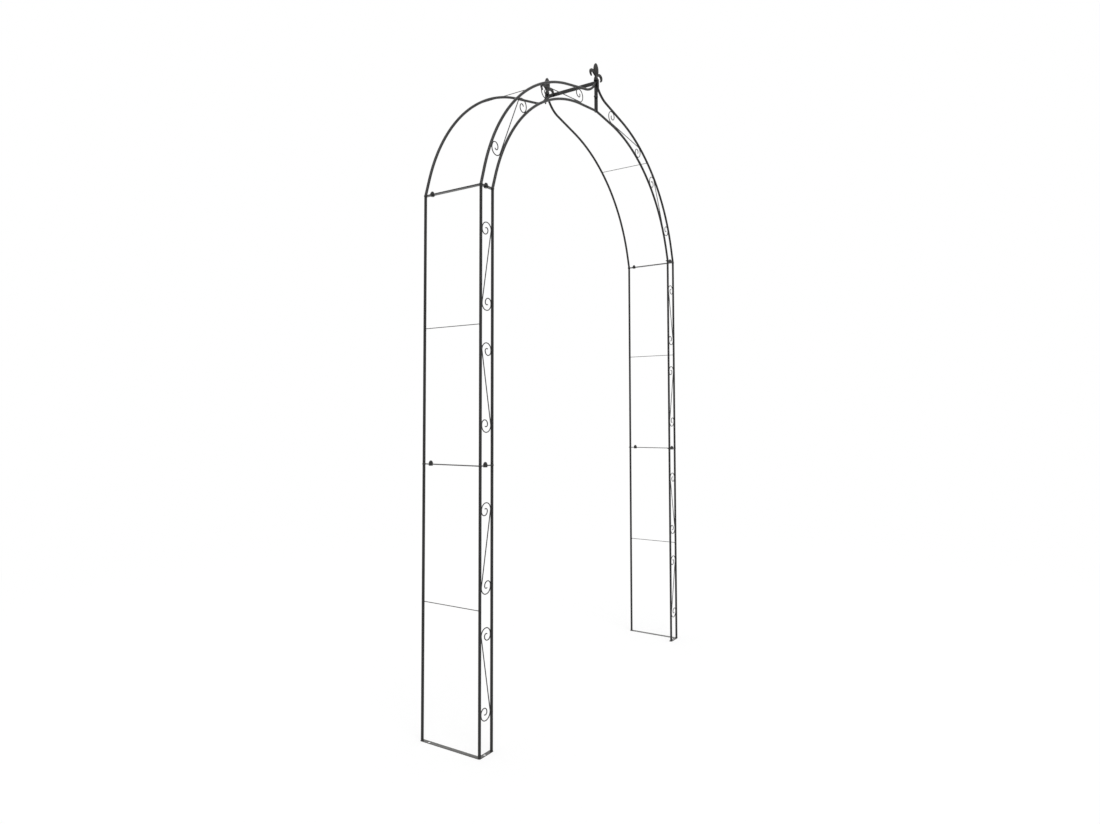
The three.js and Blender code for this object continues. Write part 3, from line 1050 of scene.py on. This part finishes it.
@dataclass
class ArchHalf:
    """Half of the arch: two strips, three tubes, a rung and two scrolls.

    Attributes:
        side: of the span.
        shoulder_inset: from the corner post in to the outer shoulder.
        shoulder_rise: from the spring joint up to it.
        shoulder_gap: between the outer and the inner shoulder.
        outer_radius: of the outer tubes' bend at the shoulder.
        inner_radius: of the inner tube's.
        knee_reach: from the middle of the span out to the knee of the outer tubes.
        knee_drop: from the ridge down to it.
        knee_radius: of the bend there.
        scroll_height: of a scroll, along the band.
        scroll_spacing: between two scrolls, along the band.
        scroll_lift: how far the pair sits above the band's middle.
        weld_gap: between a loop and a tube.
        end_reach: from a tube's end, how far its last ring is looked for, in radii.
    """

    side: Side
    shoulder_inset: float = 127 * MM
    shoulder_rise: float = 451 * MM
    shoulder_gap: float = 73 * MM
    outer_radius: float = 686 * MM
    inner_radius: float = 646 * MM
    knee_reach: float = 39 * MM
    knee_drop: float = 49 * MM
    knee_radius: float = 124 * MM
    scroll_height: float = 300 * MM
    scroll_spacing: float = 127 * MM
    scroll_lift: float = 15 * MM
    weld_gap: float = 0.3 * MM
    end_reach: float = 1.01

    @property
    def name(self) -> str:
        """How the half's pieces start their names."""
        return f"{self.side.word}_arch"

    @property
    def outer(self) -> Array:
        """The line of the front and the back tube."""
        rise = STOCK.ridge - STOCK.spring
        shoulder = complex(STOCK.half_span - self.shoulder_inset, self.shoulder_rise)
        knee = complex(self.knee_reach, rise - self.knee_drop)
        bends = (shoulder, self.outer_radius, SHOULDER_STEPS), (knee, self.knee_radius, KNEE_STEPS)
        return tube_line(STOCK.half_span, rise, *bends)

    @property
    def inner(self) -> Array:
        """The line of the inner tube."""
        start, rise = STOCK.half_span - STOCK.front_width, STOCK.ridge - STOCK.spring - STOCK.crown_drop
        shoulder = complex(STOCK.half_span - self.shoulder_inset - self.shoulder_gap, self.shoulder_rise)
        return tube_line(start, rise, (shoulder, self.inner_radius, SHOULDER_STEPS))

    def build(self) -> None:
        """Makes the half's pieces."""
        depth = STOCK.half_depth
        corner_strip(f"{self.name}_spring_strip", self.side)
        self.apex_strip(f"{self.name}_apex_strip")
        beads = self.tube(f"{self.name}_back_tube", self.outer, depth)
        beads += self.tube(f"{self.name}_front_tube", self.outer, -depth)
        beads += self.tube(f"{self.name}_inner_tube", self.inner, -depth)
        beads += rung(f"{self.name}_rung")
        for scroll, place in zip(self.scrolls(), ("low", "high")):
            beads += scroll_wire(f"{self.name}_{place}_scroll", scroll, self.side, STOCK.spring)
        WORKSHOP.piece(f"{self.name}_welds", joined(beads), FRAME_PAINT)

    def apex_strip(self, node: str) -> None:
        """The strip along the ridge, with an arm down to the crown.

        Args:
            node: the strip's name.
        """
        ridge_bolt, post_bolt = middle("apex_ridge_bolt"), middle("apex_post_bolt")
        holes = (complex(0, ridge_bolt[1] + STOCK.half_depth), complex(STOCK.ridge - post_bolt[2], 0))
        strip = Strip(2 * STOCK.half_depth, STOCK.crown_drop, holes)
        corner = np.array([0, -STOCK.half_depth, STOCK.ridge])
        skin = strip.skin().placed(corner, -UP, DEEP, self.side.value * ACROSS)
        WORKSHOP.piece(node, skin, FRAME_PAINT, node)

    def tube(self, node: str, line: Array, depth: float) -> list[Skin]:
        """An arch tube, mitred on the spring strip and on the ridge strip.

        Each point of an end ring slides along the tube until it lies on the strip's face.

        Args:
            node: the tube's name.
            line: its centre line.
            depth: its y.

        Returns:
            A bead at each end.
        """
        path = in_face(line, depth, STOCK.spring)
        skin = rod(path, STOCK.tube_radius, DEEP, TUBE_SIDES)
        thickness = STOCK.strip_thickness
        faces = ((path[0], path[1], UP, STOCK.spring + thickness), (path[-1], path[-2], ACROSS, thickness))
        beads = []
        for (end, inside, normal, level), bead in zip(faces, (POST_BEAD, RIDGE_BEAD)):
            heading = unit(inside - end)
            near = np.linalg.norm(skin.points - end, axis=1) < STOCK.tube_radius * self.end_reach
            slide = (level - skin.points[near] @ normal) / (heading @ normal)
            skin.points[near] += slide[:, None] * heading
            beads.append(self.foot_bead(bead, end, heading, normal).on_side(self.side))
        WORKSHOP.piece(node, skin.on_side(self.side), FRAME_PAINT, node)
        return beads

    def foot_bead(self, bead: Bead, end: Array, heading: Array, normal: Array) -> Skin:
        """A bead round a mitred end, which is an ellipse as long as one over the tilt's cosine.

        Args:
            bead: the bead's size.
            end: centre of the tube's end.
            heading: unit vector from there into the tube.
            normal: unit vector out of the strip's face.

        Returns:
            The closed skin.
        """
        tilt = heading @ normal
        long_way = unit(heading - tilt * normal) * STOCK.tube_radius / tilt
        short_way = np.cross(normal, unit(long_way)) * STOCK.tube_radius
        return bead.ring(end, long_way, short_way)

    def band(self) -> list[Loop]:
        """Places midway between the two front tubes, with the loop that fits there.

        Returns:
            The loops, from the spring joint up.
        """
        inner, outer = (spaced_along(line, BAND_STEPS) for line in (self.inner, self.outer))
        gaps = np.abs(inner[:, None] - outer[None, :])
        centres = (inner + outer[gaps.argmin(1)]) / 2
        radii = gaps.min(1) / 2 - STOCK.tube_radius - self.weld_gap - STOCK.wire_radius
        headings = np.angle(np.diff(centres))
        return [Loop(*place) for place in zip(centres.tolist(), radii.tolist(), headings.tolist())]

    def scrolls(self) -> list[Scroll]:
        """The two scrolls, spaced along the band between the front tubes.

        Returns:
            The low one and the high one, which turns the other way.
        """
        band = self.band()
        centres = np.array([loop.centre for loop in band])
        length = np.abs(np.diff(centres)).sum()
        inset = STOCK.front_width / 2 - STOCK.tube_radius - self.weld_gap
        margin = (length - 2 * self.scroll_height - self.scroll_spacing) / 2
        run, between = self.scroll_height - 2 * inset, self.scroll_spacing + 2 * inset
        at, ends = 0, []
        for step in (margin + self.scroll_lift + inset, run, between, run):
            at += int(np.argmax(np.abs(centres[at:] - centres[at]) >= step))
            ends.append(band[at])
        return [Scroll(*ends[:2], 1), Scroll(*ends[2:], -1)]


# Bolts


@dataclass
class BoltSet:
    """A hex bolt with a domed nut, on the z axis, with the joint between the strips at zero.

    Attributes:
        across_flats: of the head and the nut.
        head_height: of the head.
        nut_height: of the nut with its dome.
        nut_hex_height: of the nut's hexagon.
        dome_inset: from the flats in to the dome.
        shank_diameter: of the shank through the strips.
        chamfer_share: the chamfer's circle, as a share of the circle inside the flats.
        chamfer_slope: how far the chamfer drops for each step out.
        crown_share: the innermost ring of the head's face, as a share of the chamfer's circle.
        washer_height: of the raised face under the head and the nut.
        turns: number of angles that bolts are left at, within a sixth of a turn.
    """

    across_flats: float = 13 * MM
    head_height: float = 4 * MM
    nut_height: float = 11 * MM
    nut_hex_height: float = 5 * MM
    dome_inset: float = 0.5 * MM
    shank_diameter: float = 8 * MM
    chamfer_share: float = 0.95
    chamfer_slope: float = 0.5
    crown_share: float = 0.6
    washer_height: float = 0.3 * MM
    turns: int = 12

    @property
    def circle(self) -> float:
        """Radius of the chamfer's circle."""
        return self.chamfer_share * self.across_flats / 2

    @property
    def hexagon(self) -> Array:
        """Distance to the hexagon's edge: half the flats over the cosine of the angle from a flat."""
        sixth = FULL_TURN / 6
        return self.across_flats / 2 / np.cos(angles(BOLT_SIDES) % sixth - sixth / 2)

    @property
    def dip(self) -> Array:
        """How far the chamfer has dropped where it meets the hexagon's edge."""
        return self.chamfer_slope * (self.hexagon - self.circle)

    def skin_through(self, *rings: tuple[Array | float, Array | float]) -> Skin:
        """The skin through rings about the axis.

        Args:
            rings: a radius and a height for each ring, as one number or one for each of its points.

        Returns:
            The closed skin.
        """
        ones = np.ones(BOLT_SIDES)
        radii, heights = (np.stack([row * ones for row in rows])[..., None] for rows in zip(*rings))
        return loft(radii * ellipse(ACROSS, DEEP, BOLT_SIDES) + heights * UP)

    def head(self) -> Skin:
        """The head under the joint: a flat face, a chamfer that dips at the corners, and flats.

        Returns:
            The closed skin.
        """
        seat = -STOCK.strip_thickness
        base, face = seat - self.head_height, seat - self.washer_height
        bevel = (self.crown_share * self.circle, base), (self.circle, base), (self.hexagon, base + self.dip)
        return self.skin_through(*bevel, (self.hexagon, face), (self.circle, face), (self.circle, seat))

    def nut(self) -> Skin:
        """The nut over the joint: a hexagon chamfered above, under a dome.

        Returns:
            The closed skin.
        """
        seat = STOCK.strip_thickness
        face, shoulder = seat + self.washer_height, seat + self.nut_hex_height
        foot = (self.circle, seat), (self.circle, face), (self.hexagon, face)
        bevel = (self.hexagon, shoulder - self.dip), (self.circle, shoulder)
        dome = self.across_flats / 2 - self.dome_inset
        climb = np.linspace(0, QUARTER_TURN, DOME_RINGS, endpoint=False)
        cap = zip(dome * np.cos(climb), seat + self.nut_height - dome * (1 - np.sin(climb)))
        return self.skin_through(*foot, *bevel, *cap)

    def shank(self) -> Skin:
        """The shank through the strips."""
        radius, reach = self.shank_diameter / 2, STOCK.strip_thickness + self.washer_height
        return turned(np.array([[radius, -reach], [radius, reach]]), SHANK_SIDES)

    def spun(self, skin: Skin, node: str) -> Skin:
        """The bolt turned about its axis, as a spanner leaves it, by an angle that its name gives.

        Args:
            skin: the bolt.
            node: its name.

        Returns:
            The turned skin.
        """
        angle = sum(map(ord, node)) % self.turns / self.turns * FULL_TURN / 6
        first = np.array([np.cos(angle), np.sin(angle), 0])
        return skin.placed(np.zeros(3), first, np.cross(UP, first), UP)

    def build(self) -> None:
        """Makes every bolt: upright at the joints of the legs, lying across at the ridge."""
        upright = joined([self.head(), self.nut(), self.shank()])
        for side, joint, arm in product(Side, ("knee", "spring"), ("front", "side")):
            node = f"{side.word}_{joint}_{arm}_bolt"
            level = low_corner(node)[2] + self.head_height + STOCK.strip_thickness
            place = np.array([*middle(node)[:2], level])
            WORKSHOP.piece(node, self.spun(upright, node).moved(place), BOLT_PAINT, node)
        for node in ("apex_post_bolt", "apex_ridge_bolt"):
            place = np.array([0, *middle(node)[1:]])
            WORKSHOP.piece(node, self.spun(upright, node).placed(place, UP, DEEP, -ACROSS), BOLT_PAINT, node)


# Finials


def smooth_through(places: Sequence[Sequence[float]], steps: int) -> Array:
    """A smooth line through places.

    Between two places it is a cubic whose slope at each is half the way between its neighbours.

    Args:
        places: rows of numbers.
        steps: points from a place to the next.

    Returns:
        A row for each column of the places.
    """
    rows = np.array(places)
    padded = np.vstack([2 * rows[0] - rows[1], rows, 2 * rows[-1] - rows[-2]])
    t = np.linspace(0, 1, steps, endpoint=False)[None, :, None]
    a, b, c, d = (padded[i : len(padded) - 3 + i, None] for i in range(4))
    cubic = b + 0.5 * t * (c - a + t * (2 * a - 5 * b + 4 * c - d + t * (3 * (b - c) + d - a)))
    return np.vstack([cubic.reshape(-1, rows.shape[1]), rows[-1:]]).T


def bell(across: Array, place: float, width: float) -> Array:
    """1 at a place, and off it e to minus the square of the distance over the width."""
    return np.exp(-(((across - place) / width) ** 2))


def fuller(wave: Array, power: float) -> Array:
    """A sine or cosine whose size is raised to a power below 1, which squares a round section off."""
    return np.sign(wave) * np.abs(wave) ** power


@dataclass
class Finial:
    """A cast leaf between two drooping petals, on a stem and collar, with a tang behind the ridge.

    Attributes:
        height: from the collar's seat to the tip.
        leaf_height: of the leaf.
        leaf_width: of the leaf.
        leaf_thickness: of the leaf.
        leaf_powers: how square its section is, and how it thins where it is narrow.
        hollow: depth, place and width of the hollow beside the midrib, as shares of half the leaf.
        rib: height and width of the midrib, likewise.
        petal_reach: from the middle to a petal's outside.
        petal_low: height of a petal's tip.
        petal_high: height of the top of its spine.
        petal_thickness: of a petal.
        petal_tip: its thickness at the tip, as a share.
        petal_ends: share of its length that rounds each end, and the square of its least size there.
        petal_powers: how square its section is, across and deep.
        groove: depth and width of the groove along each face, as shares of half the petal.
        stem_diameter: at the neck.
        collar_diameter: of the collar.
        collar_height: of the collar.
        tang_diameter: of the tang.
        tang_gap: between the tang and the strips.
        tang_rounding: radius at the tang's ends.
        leaf_shares: across and up the leaf, from its foot to its tip.
        petal_shares: across and up a petal's spine, and its half width, from the stem to the tip.
        stem_shares: across and up the stem.
        collar_shares: across and up the collar.
        voxel: of the mesh that melts the parts together.
        ease: how far, and how many times, the melted mesh is eased.
    """

    height: float = 76 * MM
    leaf_height: float = 59 * MM
    leaf_width: float = 30 * MM
    leaf_thickness: float = 16 * MM
    leaf_powers: tuple[float, float] = (0.5, 0.8)
    hollow: tuple[float, float, float] = (0.42, 0.48, 0.2)
    rib: tuple[float, float] = (0.1, 0.1)
    petal_reach: float = 45 * MM
    petal_low: float = 8 * MM
    petal_high: float = 34 * MM
    petal_thickness: float = 9 * MM
    petal_tip: float = 0.75
    petal_ends: tuple[float, float] = (0.06, 0.02)
    petal_powers: tuple[float, float] = (0.6, 0.5)
    groove: tuple[float, float] = (0.3, 0.28)
    stem_diameter: float = 11 * MM
    collar_diameter: float = 20 * MM
    collar_height: float = 6 * MM
    tang_diameter: float = 6 * MM
    tang_gap: float = 0.3 * MM
    tang_rounding: float = 0.8 * MM
    leaf_shares: tuple = (
        (0.1, 0), (0.4, 0.04), (0.7, 0.15), (0.95, 0.3), (1, 0.45), (0.96, 0.63), (0.76, 0.8), (0.42, 0.94),
        (0.06, 1),
    )
    petal_shares: tuple = (
        (0.06, 0.4, 0.07), (0.42, 0.88, 0.115), (0.72, 0.98, 0.135), (0.93, 0.8, 0.13), (0.98, 0.46, 0.105),
        (0.89, 0.16, 0.07), (0.76, 0, 0.03),
    )
    stem_shares: tuple = ((1.65, 0), (1.6, 0.2), (1.1, 0.42), (1, 0.6), (0.6, 0.95))
    collar_shares: tuple = ((0.84, 0), (0.95, 0.06), (1, 0.3), (1, 0.55), (0.9, 0.68), (0.9, 0.8), (0.82, 1))
    voxel: float = 0.4 * MM
    ease: tuple[float, int] = (0.5, 3)

    def leaf(self) -> Skin:
        """The leaf: flattened rings up its height, with a raised midrib and a hollow beside it.

        A ring's point is half the width times the cosine across, and half the thickness times the
        sine, less a dip between the rim and the rib, plus the rib.

        Returns:
            The closed skin.
        """
        across, up = smooth_through(self.leaf_shares, LEAF_STEPS)[..., None]
        cosine, sine = np.cos(angles(LEAF_SIDES)), np.sin(angles(LEAF_SIDES))
        deep_power, thin_power = self.leaf_powers
        hollow_depth, *hollow = self.hollow
        rib_height, rib_width = self.rib
        rib = rib_height * bell(cosine, 0.0, rib_width)
        depth = fuller(sine, deep_power) * (1 - hollow_depth * bell(np.abs(cosine), *hollow)) + rib * sine
        half_depth = np.clip(across, 0, 1) ** thin_power * self.leaf_thickness / 2
        heights = self.height - self.leaf_height * (1 - up)
        return loft(np.stack([
            across * self.leaf_width / 2 * cosine,
            half_depth * depth / (1 + rib.max()),
            np.repeat(heights, LEAF_SIDES, 1),
        ], -1))

    def petal(self) -> Skin:
        """A petal: flattened rings along its spine, with a groove along each face.

        A ring's point is the spine, plus the half width times the cosine along the spine's normal,
        plus half the thickness times the sine, which is less near the middle of each face.

        Returns:
            The closed skin.
        """
        across, up, half_width = smooth_through(self.petal_shares, PETAL_STEPS)
        rise = self.petal_high - self.petal_low
        spine = across * self.petal_reach + 1j * (self.petal_low + up * rise)
        along = np.gradient(spine)
        normal = 1j * along / np.abs(along)
        cosine, sine = np.cos(angles(PETAL_SIDES)), np.sin(angles(PETAL_SIDES))
        wide_power, deep_power = self.petal_powers
        groove_depth, groove_width = self.groove
        groove = 1 - groove_depth * bell(cosine, 0.0, groove_width)
        end_share, least = self.petal_ends
        start = np.linspace(0, 1, len(spine))
        taper = np.sqrt(np.clip(np.minimum(start, start[::-1]) / end_share, least, 1))
        wide = (half_width * self.petal_reach * taper)[:, None] * fuller(cosine, wide_power)
        flat = spine[:, None] + wide * normal[:, None]
        thick = np.interp(start, [0, 0.5, 1], [1, 1, self.petal_tip]) * taper * self.petal_thickness / 2
        depth = -thick[:, None] * fuller(sine, deep_power) * groove
        return loft(np.stack([flat.real, depth, flat.imag], -1))

    def turned_part(self, shares: tuple, diameter: float, floor: float, height: float) -> Skin:
        """A part turned from shares of its diameter and of its height above its floor."""
        across, up = smooth_through(shares, TURNED_STEPS)
        return turned(np.stack([across * diameter / 2, floor + up * height], -1), TURNED_SIDES)

    def casting(self) -> Skin:
        """The leaf, both petals, the stem and the collar.

        Returns:
            Their closed skins as one, from the collar's seat up.
        """
        petal = self.petal()
        stem = self.turned_part(self.stem_shares, self.stem_diameter, self.collar_height / 2, self.height / 2)
        collar = self.turned_part(self.collar_shares, self.collar_diameter, 0.0, self.collar_height)
        return joined([self.leaf(), petal, petal.on_side(Side.LEFT), stem, collar])

    def tang(self, node: str, end: int, seat: float) -> Skin:
        """The tang, from inside the collar down to the node's lowest point, clear of the strips.

        Args:
            node: the finial's name.
            end: -1 at the front, 1 at the back.
            seat: height of the collar's seat.

        Returns:
            The closed skin.
        """
        radius = self.tang_diameter / 2
        strip_edge = STOCK.half_strip if end < 0 else STOCK.strip_reach
        depth = end * (STOCK.half_depth + strip_edge + self.tang_gap + radius)
        path = np.array([[0, depth, seat + self.collar_height / 2], [0, depth, low_corner(node)[2]]])
        return rod(path, radius, DEEP, TANG_SIDES, self.tang_rounding)

    def build(self) -> None:
        """Makes both finials, each melted into one casting."""
        for node, end in (("front_finial", -1), ("back_finial", 1)):
            seat = high_corner(node)[2] - self.height
            place = np.array([0, end * STOCK.half_depth, seat])
            skin = joined([self.casting().moved(place), self.tang(node, end, seat)])
            self.melt(WORKSHOP.piece(node, skin, FINIAL_PAINT, node))

    def melt(self, piece: bpy.types.Object) -> None:
        """Melts a piece's overlapping parts into one skin and eases the joins, as casting does.

        Args:
            piece: the object, whose mesh is replaced.
        """
        remesh = piece.modifiers.new("melt", "REMESH")
        remesh.mode = "VOXEL"
        remesh.voxel_size = self.voxel
        remesh.use_smooth_shade = True
        ease = piece.modifiers.new("ease", "SMOOTH")
        ease.factor, ease.iterations = self.ease
        graph = bpy.context.evaluated_depsgraph_get()
        melted = bpy.data.meshes.new_from_object(piece.evaluated_get(graph))
        piece.modifiers.clear()
        piece.data = melted
        LOG.info("%s: melted to %d faces", piece.name, len(melted.polygons))


# Studio


@dataclass(frozen=True)
class Studio:
    """A pale floor, soft light and the camera at the photograph's angle.

    Attributes:
        floor_size: of the floor's side.
        floor_colour: share of light that the floor gives back.
        floor_fill: what the camera sees added to it.
        fade: distances from the middle between which the floor turns white.
        sky: strength of the light from all around.
        key: strength of the key lamp.
        key_from: direction that the key lamp stands in.
        key_angle: how wide the key lamp looks.
        camera_place: where the camera stands.
        yaw: the camera's turn from +Y towards +X, in degrees.
        pitch: its tilt up, in degrees.
        roll: its roll, in degrees.
        focal: its focal length, in pixels of the photograph.
        picture: the photograph's width and height, in pixels.
        centre: where the camera's axis meets the photograph, in pixels.
        sensor: width of the camera's sensor, in millimetres.
        nearest: distance from which the camera sees.
    """

    floor_size: float = 300.0
    floor_colour: float = 0.35
    floor_fill: float = 0.66
    fade: tuple[float, float] = (1.2, 4.5)
    sky: float = 0.78
    key: float = 0.9
    key_from: tuple[float, float, float] = (-0.55, -0.75, 1.1)
    key_angle: float = 0.6
    camera_place: tuple[float, float, float] = (-2.5746, -1.6783, 1.0919)
    yaw: float = 58.073
    pitch: float = 2.677
    roll: float = -0.236
    focal: float = 728.62
    picture: tuple[int, int] = (1100, 824)
    centre: tuple[float, float] = (586.95, 381.82)
    sensor: float = 36.0
    nearest: float = 0.05

    def build(self) -> None:
        """Makes the floor, the light and the camera."""
        self.floor()
        self.world()
        self.key_lamp()
        self.camera()
        bpy.context.scene.view_settings.view_transform = "Standard"

    def camera(self) -> None:
        """The camera, turned by its yaw, then tilted by its pitch, then rolled."""
        yaw, pitch, roll = np.radians([self.yaw, self.pitch, self.roll])
        level = np.array([np.sin(yaw), np.cos(yaw), 0])
        right = np.array([np.cos(yaw), -np.sin(yaw), 0])
        forward = np.cos(pitch) * level + np.sin(pitch) * UP
        rolled = np.cos(roll) * right + np.sin(roll) * np.cross(right, forward)
        axes = np.eye(4)
        axes[:3, :3] = np.stack([rolled, np.cross(rolled, forward), -forward], -1)
        axes[:3, 3] = self.camera_place
        width, height = self.picture
        data = bpy.data.cameras.new("camera")
        data.sensor_fit = "HORIZONTAL"
        data.sensor_width = self.sensor
        data.lens = self.focal / width * self.sensor
        data.shift_x = (width / 2 - self.centre[0]) / width
        data.shift_y = (self.centre[1] - height / 2) / width
        data.clip_start, data.clip_end = self.nearest, self.floor_size
        camera = put("camera", data)
        camera.matrix_world = Matrix(axes)
        bpy.context.scene.camera = camera

    def key_lamp(self) -> None:
        """A wide, soft key lamp far off."""
        data = bpy.data.lights.new("key", "SUN")
        data.energy = self.key
        data.angle = self.key_angle
        away = unit(np.array(self.key_from))
        beside = unit(np.cross(UP, away))
        axes = np.stack([beside, np.cross(away, beside), away], -1)
        put("key", data).matrix_world = Matrix(axes).to_4x4()

    def world(self) -> None:
        """Even light from all around; the camera and reflections see white."""
        world = bpy.data.worlds.new("studio")
        world.use_nodes = True
        bpy.context.scene.world = world
        sheet, nodes = NodeSheet(world.node_tree), world.node_tree.nodes
        light = nodes["Background"]
        sheet.feed(light, {"Color": WHITE, "Strength": self.sky})
        white = sheet.add("Background", "Background", {"Color": WHITE, "Strength": 1.0})
        mixed = {"Fac": self.seen(sheet), 1: light.outputs["Background"], 2: white}
        sheet.feed(nodes["World Output"], {"Surface": sheet.add("MixShader", "Shader", mixed)})

    def seen(self, sheet: NodeSheet) -> Socket:
        """Whether a ray carries what is seen.

        Args:
            sheet: to add the nodes to.

        Returns:
            1 for a ray from the camera, in a reflection or through glass, and otherwise 0.
        """
        largest = sheet.add("LightPath", "Is Camera Ray", {})
        flags = largest.node.outputs
        for name in ("Is Glossy Ray", "Is Transmission Ray"):
            largest = sheet.add("Math", "Value", {0: largest, 1: flags[name]}, operation="MAXIMUM")
        return largest

    def floor(self) -> None:
        """A level floor that keeps soft shadows near the middle and turns white further out."""
        half = self.floor_size / 2
        mesh = bpy.data.meshes.new("floor")
        corners = [(-half, -half, 0), (half, -half, 0), (half, half, 0), (-half, half, 0)]
        mesh.from_pydata(corners, [], [(0, 1, 2, 3)])
        mesh.materials.append(self.floor_material())
        floor = put("floor", mesh)

    def floor_material(self) -> bpy.types.Material:
        """Matt grey, with a glow that the camera and reflections see, which turns white further out.

        Returns:
            The new material.
        """
        material = bpy.data.materials.new("floor")
        material.use_nodes = True
        sheet, nodes = NodeSheet(material.node_tree), material.node_tree.nodes
        nodes.remove(nodes["Principled BSDF"])
        seen = self.seen(sheet)
        matt = sheet.add("BsdfDiffuse", "BSDF", {"Color": (self.floor_colour,) * 3 + (1,)})
        glow = sheet.add("Emission", "Emission", {"Strength": sheet.times(seen, self.floor_fill)})
        near = sheet.add("AddShader", "Shader", {0: matt, 1: glow})
        far = sheet.add("Emission", "Emission", {"Strength": 1.0})
        place = sheet.add("TexCoord", "Object", {})
        distance = sheet.add("VectorMath", "Value", {0: place}, operation="LENGTH")
        whiter = sheet.spread(distance, self.fade, interpolation_type="SMOOTHSTEP")
        mixed = {"Fac": sheet.times(whiter, seen), 1: near, 2: far}
        sheet.feed(nodes["Material Output"], {"Surface": sheet.add("MixShader", "Shader", mixed)})
        return material


def main() -> None:
    """Builds the studio, the legs, the arch, the bolts and the finials."""
    logging.basicConfig(level=logging.INFO, format="%(name)s %(message)s")
    Studio().build()
    for side, level in product(Side, Level):
        LegPanel(side, level).build()
    for side in Side:
        ArchHalf(side).build()
    BoltSet().build()
    Finial().build()


if __name__ == "__main__":
    main()
